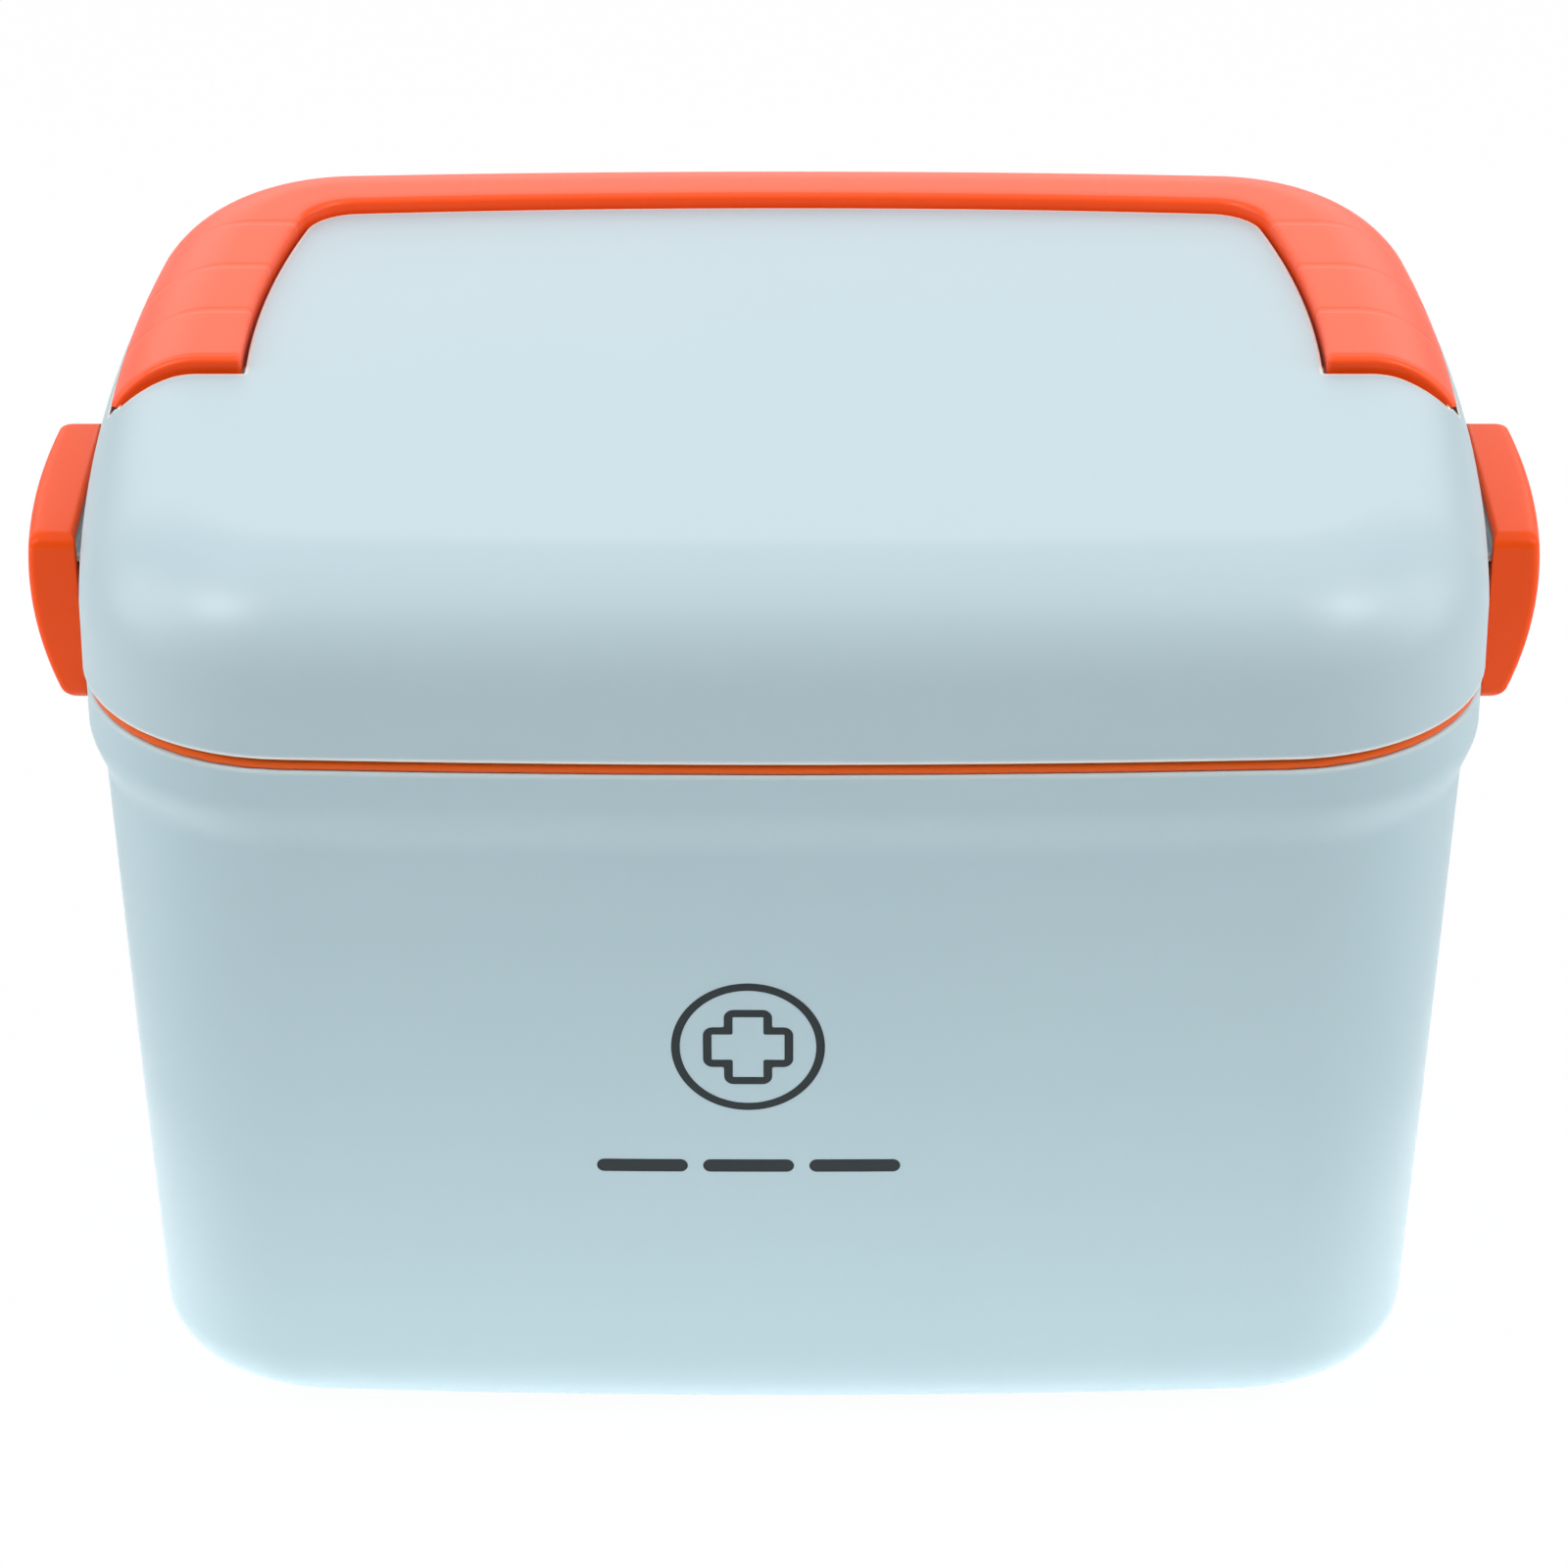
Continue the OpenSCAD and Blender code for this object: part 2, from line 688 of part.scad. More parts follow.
// A ring round the latch at a height; the hollow's rings run past the open side
function latch_ring(h, wall, z) =
    let (
        r = max(latch_edge_r - wall, lip),
        w = latch_half_w(h) - wall,
        flat = w - r,
        face = latch_face(h) - wall,
        side = face - latch_bow(flat) - r,
        edge = latch_edge(h) - 2 * wall
    )
    concat(
        [[edge, w, z], [edge, -w, z]],
        [for (i = [0:round_q]) concat([side, -flat] + r * unit(-90 + 90 * i / round_q), z)],
        [for (i = [1:bow_n - 1])
            let (y = flat * (2 * i / bow_n - 1))
            [face - latch_bow(y), y, z]],
        [for (i = [0:round_q]) concat([side, flat] + r * unit(90 * i / round_q), z)]
    );

// Heights of the latch's rings, closer together at its top and tip
latch_heights = [for (i = [0:latch_steps])
    -latch_tip + (latch_top + latch_tip) * (1 - cos(180 * i / latch_steps)) / 2];

module latch_outside() {
    skin([for (h = latch_heights) latch_ring(h, 0, lid_z + h)]);
}

module latch_hollow() {
    low = -latch_tip + latch_wall;
    high = latch_top - latch_cap_t;
    skin([for (i = [0:latch_steps / 2])
        let (h = low + (high - low) * 2 * i / latch_steps)
        latch_ring(h, latch_wall, lid_z + h)]);
}

module hook() {
    tip = half_w - rim_inset + keeper_out - hook_reach;
    back = latch_face(hook_z - lid_z) - latch_wall / 2;
    translate([tip, -hook_len / 2, hook_z])
        cube([back - tip, hook_len, hook_t]);
}

module latch() {
    color(orange) difference() {
        union() {
            difference() {
                latch_outside();
                latch_hollow();
            }
            hook();
        }
        translate([half_w + hinge_out, cheek_blind - cheek_in - latch_wall, lid_z + hinge_z])
            rotate([-90, 0, 0])
                cylinder(d = hinge_pin_d + 2 * pin_free, h = latch_w, $fn = round_n);
    }
}

module latch_left() {
    mirror([1, 0, 0]) latch();
}

module latch_right() {
    latch();
}

module latch_pin() {
    color(steel)
        translate([half_w + hinge_out, cheek_blind + pin_end_gap - cheek_in - latch_wall, lid_z + hinge_z])
            rotate([-90, 0, 0])
                cylinder(d = hinge_pin_d, h = 2 * (cheek_in + latch_wall) - cheek_blind - 2 * pin_end_gap,
                         $fn = round_n);
}

module latch_pin_left() {
    mirror([1, 0, 0]) latch_pin();
}

module latch_pin_right() {
    latch_pin();
}

base_box();
inner_tray();
lid();
handle();
handle_pin_left();
handle_pin_right();
latch_left();
latch_right();
latch_pin_left();
latch_pin_right();
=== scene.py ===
"""Looks of a household medicine case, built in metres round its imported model.

The base stands on z = 0, the front faces -Y and the latches are on -X and +X. Sizes in the
dataclasses are millimetres, as on a drawing; MM turns them to metres where geometry is placed.
"""

import json
import logging
import math
from collections.abc import Callable
from dataclasses import dataclass, field
from enum import Enum

import bmesh
import bpy
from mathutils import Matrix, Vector

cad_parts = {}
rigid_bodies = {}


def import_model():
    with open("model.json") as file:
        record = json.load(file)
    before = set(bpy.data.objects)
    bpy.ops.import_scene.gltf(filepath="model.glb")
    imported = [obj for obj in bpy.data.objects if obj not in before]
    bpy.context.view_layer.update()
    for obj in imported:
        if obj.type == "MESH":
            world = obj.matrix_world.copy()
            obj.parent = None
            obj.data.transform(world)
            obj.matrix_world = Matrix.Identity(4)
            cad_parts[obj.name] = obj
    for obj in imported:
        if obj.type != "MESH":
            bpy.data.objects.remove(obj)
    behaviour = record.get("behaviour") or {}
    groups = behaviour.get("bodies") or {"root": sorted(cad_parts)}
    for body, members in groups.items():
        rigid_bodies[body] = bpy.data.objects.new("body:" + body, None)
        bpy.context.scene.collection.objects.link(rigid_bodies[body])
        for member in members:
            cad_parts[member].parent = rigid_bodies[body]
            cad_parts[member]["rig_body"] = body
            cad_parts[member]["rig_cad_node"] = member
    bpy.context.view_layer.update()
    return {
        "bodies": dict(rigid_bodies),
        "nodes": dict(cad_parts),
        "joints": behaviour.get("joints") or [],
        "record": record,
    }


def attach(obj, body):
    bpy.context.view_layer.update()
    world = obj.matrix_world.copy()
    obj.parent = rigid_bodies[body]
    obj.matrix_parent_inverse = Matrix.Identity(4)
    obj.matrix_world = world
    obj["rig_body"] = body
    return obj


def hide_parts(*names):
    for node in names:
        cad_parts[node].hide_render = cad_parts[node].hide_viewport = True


MM = 0.001
LOG = logging.getLogger("medicine_case")

# Sizes that several sub-assemblies share: the height of the lid's lower edge, the height of the
# handle's pins above it, and the spacing of the handle's ribs.
LID_Z = 161.8
PIVOT_H = 31.0
BAR_RIB_PITCH = 19.4
ARM_RIB_PITCH = 22.0
ARM_RIB_FIRST = 14.4

# How far a tool runs past the cut it makes, the steps of a full turn, and the distance within
# which two places count as the same.
OVERRUN = 1.0
ROUND_STEPS = 72
SAME = 0.01

WHITE = (1.0, 1.0, 1.0, 1.0)

Point = tuple[float, float]
Corner = tuple[float, float, float]
Ring = list[Vector]
Piece = bpy.types.Object
Material = bpy.types.Material
Tree = bpy.types.NodeTree
Socket = bpy.types.NodeSocket


class Body(Enum):
    """The bodies that pieces ride on."""

    BASE = "base"
    TRAY = "tray"
    LID = "lid"
    HANDLE = "handle"
    LATCH_LEFT = "latch_left"
    LATCH_RIGHT = "latch_right"


class Slot(Enum):
    """The record's material slots of the pieces that are modelled here."""

    CASE = "case_plastic"
    ORANGE = "orange_plastic"


class Side(Enum):
    """The short sides of the case, with the sign of their X."""

    LEFT = -1
    RIGHT = 1


class Operation(Enum):
    """What a tool does to a piece."""

    CUT = "DIFFERENCE"
    ADD = "UNION"


# ---- Sizes that several sub-assemblies share


@dataclass(frozen=True)
class Outline:
    """The case's outline in plan: bowed sides that run smoothly into round corners."""

    width: float = 280.0
    depth: float = 208.6
    corner_r: float = 43.0
    side_bow: float = 9.8
    front_bow: float = 4.3
    side_steps: int = 12
    corner_steps: int = 22
    front_steps: int = 16
    least_r: float = 3.0

    @staticmethod
    def bow_radius(half_length: float, bow: float) -> float:
        """Gives the radius of an arc of the given half length and rise."""
        return (half_length**2 + bow**2) / (2 * bow)

    def quarter(self, inset: float, radius: float) -> list[Point]:
        """Draws one quarter of the outline, from the middle of the right side to that of the back.

        Args:
            inset: distance inside the case's own outline.
            radius: corner radius there.

        Returns:
            The points, without the last one.
        """
        a, b = self.width / 2 - inset, self.depth / 2 - inset
        side_r, front_r = self.bow_radius(b, self.side_bow), self.bow_radius(a, self.front_bow)
        side_c, front_c = Vector((a - side_r, 0.0)), Vector((0.0, b - front_r))
        gap = (front_c - side_c).length
        along = (gap**2 + (side_r - radius) ** 2 - (front_r - radius) ** 2) / (2 * gap)
        across = math.sqrt(max((side_r - radius) ** 2 - along**2, 0.0))
        unit = (front_c - side_c) / gap
        centre = side_c + unit * along + Vector((-unit.y, unit.x)) * across
        turn_1 = math.atan2(centre.y, centre.x - side_c.x)
        turn_2 = math.atan2(centre.y - front_c.y, centre.x)
        arcs = (
            (side_c, side_r, 0.0, turn_1, self.side_steps),
            (centre, radius, turn_1, turn_2, self.corner_steps),
            (front_c, front_r, turn_2, math.pi / 2, self.front_steps),
        )
        return [
            (c.x + r * math.cos(t), c.y + r * math.sin(t))
            for c, r, start, end, steps in arcs
            for t in (start + (end - start) * i / steps for i in range(steps))
        ]

    def ring(self, inset: float, z: float, radius: float | None = None) -> Ring:
        """Draws the whole outline at one height.

        Args:
            inset: distance inside the case's own outline.
            z: height.
            radius: corner radius; by default it shrinks with the inset.

        Returns:
            The points in metres, anticlockwise from above.
        """
        radius = max(self.corner_r - inset, self.least_r) if radius is None else radius
        right_back = self.quarter(inset, radius)
        left_back = [(-x, y) for x, y in reversed(right_back[1:])]
        back = right_back + [(0.0, self.depth / 2 - inset)] + left_back
        return [Vector((x, y, z)) * MM for x, y in back + [(-x, -y) for x, y in back]]

    def above(self, pairs: list[Point]) -> list[Ring]:
        """Draws rings from pairs of inset and height above the lid's lower edge."""
        return [self.ring(inset, LID_Z + h) for inset, h in pairs]


def arc(start: float, end: float, steps: int) -> list[float]:
    """Angles from start to end in degrees, as radians, both ends included."""
    return [math.radians(start + (end - start) * i / steps) for i in range(steps + 1)]


def blend(share: float) -> float:
    """A smooth step from 0 to 1."""
    return share * share * (3 - 2 * share)


# ---- Modelling


def activate(piece: Piece) -> None:
    """Selects one object alone and makes it active.

    Args:
        piece: the object.
    """
    bpy.ops.object.select_all(action="DESELECT")
    piece.select_set(True)
    bpy.context.view_layer.objects.active = piece


def rename(piece: Piece, name: str) -> Piece:
    """Names an object and its mesh.

    Args:
        piece: the object.
        name: the name of both.

    Returns:
        The same object.
    """
    piece.name = name
    piece.data.name = name
    return piece


def select_verts(mesh: bpy.types.Mesh, test: Callable[[bmesh.types.BMVert], bool]) -> None:
    """Selects some vertices of the mesh in edit mode, and no others.

    Args:
        mesh: the mesh that is being edited.
        test: says of each vertex whether it is selected.
    """
    bpy.ops.mesh.select_mode(type="VERT")
    bpy.ops.mesh.select_all(action="DESELECT")
    bm = bmesh.from_edit_mesh(mesh)
    for vert in bm.verts:
        vert.select = bool(test(vert))
    bm.select_flush(True)
    bmesh.update_edit_mesh(mesh)


def loft(name: str, sections: list[Ring], closed: bool = False) -> Piece:
    """Makes a solid by extruding a circle from section to section.

    Args:
        name: name of the new object.
        sections: rings with as many points each, in metres.
        closed: joins the last ring to the first, as in a tube bent into a loop.

    Returns:
        The new object.
    """
    bpy.ops.object.select_all(action="DESELECT")
    bpy.ops.mesh.primitive_circle_add(vertices=len(sections[0]), radius=sections[0][0].length)
    piece = rename(bpy.context.active_object, name)
    mesh = piece.data
    bpy.ops.object.mode_set(mode="EDIT")
    bm = bmesh.from_edit_mesh(mesh)
    place = bm.verts.layers.int.new("place")
    level = bm.verts.layers.int.new("level")
    for index, vert in enumerate(bm.verts):
        vert[place] = index
        vert.co = sections[0][index]
    bpy.ops.mesh.select_mode(type="EDGE")
    bpy.ops.mesh.select_all(action="SELECT")
    for count, section in enumerate(sections[1:], start=1):
        bpy.ops.mesh.extrude_edges_move()
        bm = bmesh.from_edit_mesh(mesh)
        place, level = bm.verts.layers.int["place"], bm.verts.layers.int["level"]
        for vert in bm.verts:
            if vert.select:
                vert[level] = count
                vert.co = section[vert[place]]
    last = len(sections) - 1
    if closed:
        select_verts(mesh, lambda v: v[level] in (0, last))
        bpy.ops.mesh.select_mode(type="EDGE")
        bpy.ops.mesh.bridge_edge_loops()
    else:
        for end in (0, last):
            bm = bmesh.from_edit_mesh(mesh)
            level = bm.verts.layers.int["level"]
            select_verts(mesh, lambda v: v[level] == end)
            bpy.ops.mesh.edge_face_add()
    bpy.ops.mesh.select_all(action="SELECT")
    bpy.ops.mesh.normals_make_consistent(inside=False)
    bpy.ops.object.mode_set(mode="OBJECT")
    for layer in ("place", "level"):
        mesh.attributes.remove(mesh.attributes[layer])
    return piece


def lathe_x(
    name: str, profile: list[Point], centre: Vector, side: Side, steps: int = ROUND_STEPS
) -> Piece:
    """Makes a round solid about a line along X.

    Args:
        name: name of the new object.
        profile: pairs of X and radius in millimetres, on the right side.
        centre: a point on the line, in millimetres; only its Y and Z count.
        side: the side of the case; on the left the solid is mirrored.
        steps: points round the solid.

    Returns:
        The new object.
    """
    sections = []
    for x, radius in profile:
        spots = []
        for i in range(steps):
            turn = 2 * math.pi * i / steps
            y, z = centre.y + radius * math.cos(turn), centre.z + radius * math.sin(turn)
            spots.append(Vector((side.value * x, y, z)) * MM)
        sections.append(spots)
    return loft(name, sections)


def block(name: str, low: Corner, high: Corner) -> Piece:
    """Adds a cube as a tool for cutting or joining.

    Args:
        name: name of the new object.
        low: its lowest corner in millimetres.
        high: its highest corner in millimetres.

    Returns:
        The new object.
    """
    low_m, high_m = Vector(low) * MM, Vector(high) * MM
    middle, size = (low_m + high_m) / 2, high_m - low_m
    bpy.ops.object.select_all(action="DESELECT")
    bpy.ops.mesh.primitive_cube_add(size=1.0, location=middle, scale=size)
    bpy.ops.object.transform_apply(location=True, rotation=True, scale=True)
    return rename(bpy.context.active_object, name)


def rod_y(name: str, x: float, z: float, radius: float, low: float, high: float) -> Piece:
    """Adds a cylinder along Y as a tool for cutting.

    Args:
        name: name of the new object.
        x: X of its line in millimetres.
        z: Z of its line in millimetres.
        radius: its radius in millimetres.
        low: Y of its front end in millimetres.
        high: Y of its back end in millimetres.

    Returns:
        The new object.
    """
    bpy.ops.object.select_all(action="DESELECT")
    bpy.ops.mesh.primitive_cylinder_add(
        vertices=ROUND_STEPS,
        radius=radius * MM,
        depth=(high - low) * MM,
        location=Vector((x, (low + high) / 2, z)) * MM,
        rotation=(math.pi / 2, 0, 0),
    )
    bpy.ops.object.transform_apply(location=True, rotation=True, scale=True)
    return rename(bpy.context.active_object, name)


def join(pieces: list[Piece]) -> Piece:
    """Joins tools that don't touch into one object.

    Args:
        pieces: the tools, of which the first stays.

    Returns:
        The first of them, which now holds all.
    """
    activate(pieces[0])
    for piece in pieces[1:]:
        piece.select_set(True)
    bpy.ops.object.join()
    return pieces[0]


def work(piece: Piece, tool: Piece, operation: Operation = Operation.CUT) -> None:
    """Cuts a tool from a piece, or joins it to the piece, and removes the tool.

    Args:
        piece: the object that changes.
        tool: the object that cuts it or is joined to it.
        operation: whether it cuts or adds.
    """
    activate(piece)
    bpy.ops.object.modifier_add(type="BOOLEAN")
    modifier = piece.modifiers[-1]
    modifier.operation = operation.value
    modifier.solver = "EXACT"
    modifier.object = tool
    bpy.ops.object.modifier_apply(modifier=modifier.name)
    bpy.data.objects.remove(tool, do_unlink=True)


def edit_all(piece: Piece) -> None:
    """Opens a piece in edit mode, with all of it selected.

    Args:
        piece: the piece.
    """
    activate(piece)
    bpy.ops.object.mode_set(mode="EDIT")
    bpy.ops.mesh.select_all(action="SELECT")


def cut_off(piece: Piece, y: float) -> None:
    """Takes away the front of a piece, and closes the cut.

    Args:
        piece: the object that changes.
        y: Y of the cut in millimetres.
    """
    edit_all(piece)
    bpy.ops.mesh.bisect(
        plane_co=(0, y * MM, 0), plane_no=(0, 1, 0), use_fill=True, clear_inner=True
    )
    bpy.ops.mesh.select_all(action="SELECT")
    bpy.ops.mesh.normals_make_consistent(inside=False)
    bpy.ops.object.mode_set(mode="OBJECT")


def turn_over(piece: Piece) -> None:
    """Mirrors a piece from the right side to the left, with its faces still outwards.

    Args:
        piece: a piece on the right side.
    """
    edit_all(piece)
    bpy.ops.transform.resize(value=(-1, 1, 1), center_override=(0, 0, 0))
    bpy.ops.mesh.flip_normals()
    bpy.ops.object.mode_set(mode="OBJECT")


def smooth(piece: Piece, angle: float = 28.0) -> None:
    """Merges doubles and shades a piece smoothly, save across its sharp edges.

    Args:
        piece: the object that changes.
        angle: the smallest angle of a sharp edge, in degrees.
    """
    edit_all(piece)
    bpy.ops.mesh.remove_doubles(threshold=SAME / 2 * MM)
    bpy.ops.object.mode_set(mode="OBJECT")
    bpy.ops.object.shade_smooth_by_angle(angle=math.radians(angle))


# ---- Finishes


def linear(hex_colour: str) -> tuple[float, float, float, float]:
    """Turns an sRGB hex colour to the linear values that a shader takes.

    Args:
        hex_colour: such as "#F4500A".

    Returns:
        Red, green, blue and alpha.
    """
    channels = (int(hex_colour[i : i + 2], 16) / 255 for i in (1, 3, 5))
    values = [c / 12.92 if c <= 0.04045 else ((c + 0.055) / 1.055) ** 2.4 for c in channels]
    return values[0], values[1], values[2], 1.0


def add_node(
    tree: Tree, kind: str, inputs: dict[str | int, object] | None = None, **settings: object
) -> bpy.types.Node:
    """Adds a node with its settings, its values and its links.

    Args:
        tree: the material's or the world's tree.
        kind: the node's type.
        inputs: a value or an output socket for each input, by name or number.
        settings: the node's own properties.

    Returns:
        The new node.
    """
    node = tree.nodes.new(kind)
    for key, value in settings.items():
        setattr(node, key, value)
    for key, value in (inputs or {}).items():
        if isinstance(value, Socket):
            tree.links.new(value, node.inputs[key])
        else:
            node.inputs[key].default_value = value
    return node


def maths(tree: Tree, operation: str, *values: float | Socket) -> Socket:
    """Adds a math node.

    Args:
        tree: the material's or the world's tree.
        operation: the node's operation.
        values: a number or an output socket for each of its inputs.

    Returns:
        Its result.
    """
    node = add_node(tree, "ShaderNodeMath", dict(enumerate(values)), operation=operation)
    return node.outputs[0]


def noise(tree: Tree, place: Socket, width: float, **inputs: float) -> Socket:
    """Adds a noise texture.

    Args:
        tree: the material's tree.
        place: the object coordinates.
        width: width of its largest lumps in millimetres.
        inputs: other inputs of the node.

    Returns:
        Its grey value.
    """
    values = {"Vector": place, "Scale": 1 / (width * MM), **inputs}
    return add_node(tree, "ShaderNodeTexNoise", values).outputs["Fac"]


def spread(tree: Tree, value: Socket, low: float, high: float) -> Socket:
    """Adds a node that spreads a value of 0 to 1 from low to high, and gives its result."""
    inputs = {"Value": value, "To Min": low, "To Max": high}
    return add_node(tree, "ShaderNodeMapRange", inputs).outputs["Result"]


def mix_colours(tree: Tree, share: Socket, first: object, second: object) -> Socket:
    """Adds a node that mixes two colours.

    Args:
        tree: the material's tree.
        share: the share of the second colour.
        first: the first colour, as values or an output socket.
        second: the second colour.

    Returns:
        The mixed colour.
    """
    inputs = {0: share, 6: first, 7: second}
    return add_node(tree, "ShaderNodeMix", inputs, data_type="RGBA").outputs[2]


def new_material(name: str) -> Material:
    """Makes a material with an empty node tree.

    Args:
        name: name of the material.

    Returns:
        The new material.
    """
    material = bpy.data.materials.new(name)
    material.use_nodes = True
    material.node_tree.nodes.clear()
    return material


@dataclass(frozen=True)
class MouldedPolypropylene:
    """Injection-moulded polypropylene: a satin skin with a fine spark-eroded grain.

    The grain breaks up reflections, so the lamps show as broad soft sheens and not as mirrors.
    A pale line is painted into the colour along sharp edges: a painted highlight where they catch
    the light.
    """

    name: str
    colour: str
    cloud_colour: str
    roughness: float
    grain_depth: float = 0.006
    grain_width: float = 0.45
    cloud_width: float = 70.0
    edge_r: float = 0.45
    gloss_range: float = 0.05
    scatter: float = 0.06
    scatter_depth: float = 2.0
    ior: float = 1.49
    gloss: float = 0.5
    # Colour, share and normal thresholds of the painted highlight line along sharp edges.
    painted_highlight_colour: str = "#FFF4E6"
    painted_highlight_share: float = 0.0
    painted_highlight_starts: float = 0.9995
    painted_highlight_full: float = 0.985
    fuzz: float = 0.0

    def height(self, tree: Tree, place: Socket) -> Socket | None:
        """Gives the height of what lies in the surface besides its grain; none here."""
        return None

    def skin(self, tree: Tree, colour: Socket, rounded: Socket) -> Socket:
        """Paints a pale highlight line into the colour wherever the softened normal leaves the
        surface's own.

        Args:
            tree: the material's tree.
            colour: the clouded colour.
            rounded: the normal with softened edges.

        Returns:
            The new colour, or the same one where the finish has no such line.
        """
        if not self.painted_highlight_share:
            return colour
        # Painted highlight: a pale colour is mixed in where the softened normal turns away from the
        # surface's own.
        own = add_node(tree, "ShaderNodeNewGeometry").outputs["Normal"]
        turn = add_node(
            tree, "ShaderNodeVectorMath", {0: rounded, 1: own}, operation="DOT_PRODUCT"
        )
        line = add_node(
            tree,
            "ShaderNodeMapRange",
            {
                "Value": turn.outputs["Value"],
                "From Min": self.painted_highlight_starts,
                "From Max": self.painted_highlight_full,
                "To Max": self.painted_highlight_share,
            },
        )
        return mix_colours(tree, line.outputs["Result"], colour, linear(self.painted_highlight_colour))

    def material(self) -> Material:
        """Builds the material: clouded colour, uneven gloss, grain and softened edges.

        Returns:
            The new material.
        """
        material = new_material(self.name)
        tree = material.node_tree
        place = add_node(tree, "ShaderNodeTexCoord").outputs["Object"]
        cloud = noise(tree, place, self.cloud_width, Detail=3.0, Roughness=0.5)
        colour = mix_colours(tree, cloud, linear(self.colour), linear(self.cloud_colour))
        grain = noise(tree, place, self.grain_width, Detail=2.0, Roughness=0.6)
        low, high = self.roughness - self.gloss_range, self.roughness + self.gloss_range
        edge = add_node(tree, "ShaderNodeBevel", {"Radius": self.edge_r * MM}, samples=6)
        rounded = edge.outputs["Normal"]
        bumps = [{"Height": grain, "Distance": self.grain_depth * MM, "Strength": 0.6}]
        height = self.height(tree, place)
        if height is not None:
            bumps.append({"Height": height, "Distance": 1.0, "Strength": 1.0})
        normal = rounded
        for bump in bumps:
            normal = add_node(tree, "ShaderNodeBump", {**bump, "Normal": normal}).outputs["Normal"]
        shader = add_node(
            tree,
            "ShaderNodeBsdfPrincipled",
            {
                "Base Color": self.skin(tree, colour, rounded),
                "Roughness": spread(tree, grain, low, high),
                "Normal": normal,
                "IOR": self.ior,
                "Specular IOR Level": self.gloss,
                "Subsurface Weight": self.scatter,
                "Subsurface Radius": (1.0, 1.0, 1.0),
                "Subsurface Scale": self.scatter_depth * MM,
                "Sheen Weight": self.fuzz,
                "Sheen Roughness": 0.3,
            },
        )
        add_node(tree, "ShaderNodeOutputMaterial", {"Surface": shader.outputs["BSDF"]})
        return material


@dataclass(frozen=True)
class RibbedPolypropylene(MouldedPolypropylene):
    """The handle's polypropylene, which has sunk a little over each rib inside it."""

    bar_reach: float = 73.0
    arm_reach: float = 66.0
    sink_half: float = 1.5
    sink_depth: float = 0.09

    def marks(self, tree: Tree, along: Socket, pitch: float, first: float) -> Socket:
        """Makes a row of narrow dips along one axis.

        Args:
            tree: the material's tree.
            along: the coordinate along the row, in metres.
            pitch: distance between the dips in millimetres.
            first: place of one of them in millimetres.

        Returns:
            1 at the middle of each dip and 0 between them.
        """
        full = 2 * math.pi
        turn = maths(tree, "MULTIPLY_ADD", along, full / (pitch * MM), -full * first / pitch)
        wave = maths(tree, "COSINE", turn)
        edge = math.cos(full * self.sink_half / pitch)
        mark = add_node(
            tree,
            "ShaderNodeMapRange",
            {"Value": wave, "From Min": edge, "From Max": 1.0},
            interpolation_type="SMOOTHSTEP",
        )
        return mark.outputs["Result"]

    def height(self, tree: Tree, place: Socket) -> Socket | None:
        """Gives the height of the sink marks across the bar and the arms.

        Args:
            tree: the material's tree.
            place: the object coordinates.

        Returns:
            The height in metres.
        """
        split = add_node(tree, "ShaderNodeSeparateXYZ", {"Vector": place})
        bar = self.marks(tree, split.outputs["X"], BAR_RIB_PITCH, BAR_RIB_PITCH / 2)
        arms = self.marks(tree, split.outputs["Y"], ARM_RIB_PITCH, ARM_RIB_FIRST)
        behind = maths(tree, "GREATER_THAN", split.outputs["Y"], self.arm_reach * MM)
        both = add_node(tree, "ShaderNodeMix", {0: behind, 2: arms, 3: bar}, data_type="FLOAT")
        across = maths(tree, "ABSOLUTE", split.outputs["X"])
        outer = maths(tree, "GREATER_THAN", across, self.bar_reach * MM)
        corner = maths(tree, "MULTIPLY", outer, behind)
        shown = maths(tree, "SUBTRACT", 1.0, corner)
        sunk = maths(tree, "MULTIPLY", both.outputs[0], shown)
        return maths(tree, "MULTIPLY", sunk, -self.sink_depth * MM)


@dataclass(frozen=True)
class DrawnSteel:
    """Drawn steel wire: bright, with faint lines along its length that stretch its highlight."""

    name: str
    colour: str
    roughness: float
    less_rough: float = 0.08
    more_rough: float = 0.1
    stretch: Corner = (300.0, 300.0, 9000.0)

    def material(self) -> Material:
        """Builds the material.

        Returns:
            The new material.
        """
        material = new_material(self.name)
        tree = material.node_tree
        place = add_node(tree, "ShaderNodeTexCoord").outputs["Object"]
        lines = add_node(tree, "ShaderNodeMapping", {"Vector": place, "Scale": self.stretch})
        vector = lines.outputs["Vector"]
        grey = add_node(
            tree, "ShaderNodeTexNoise", {"Vector": vector, "Scale": 1.0, "Detail": 2.0}
        ).outputs["Fac"]
        low, high = self.roughness - self.less_rough, self.roughness + self.more_rough
        shader = add_node(
            tree,
            "ShaderNodeBsdfPrincipled",
            {
                "Base Color": linear(self.colour),
                "Metallic": 1.0,
                "Roughness": spread(tree, grey, low, high),
            },
        )
        add_node(tree, "ShaderNodeOutputMaterial", {"Surface": shader.outputs["BSDF"]})
        return material


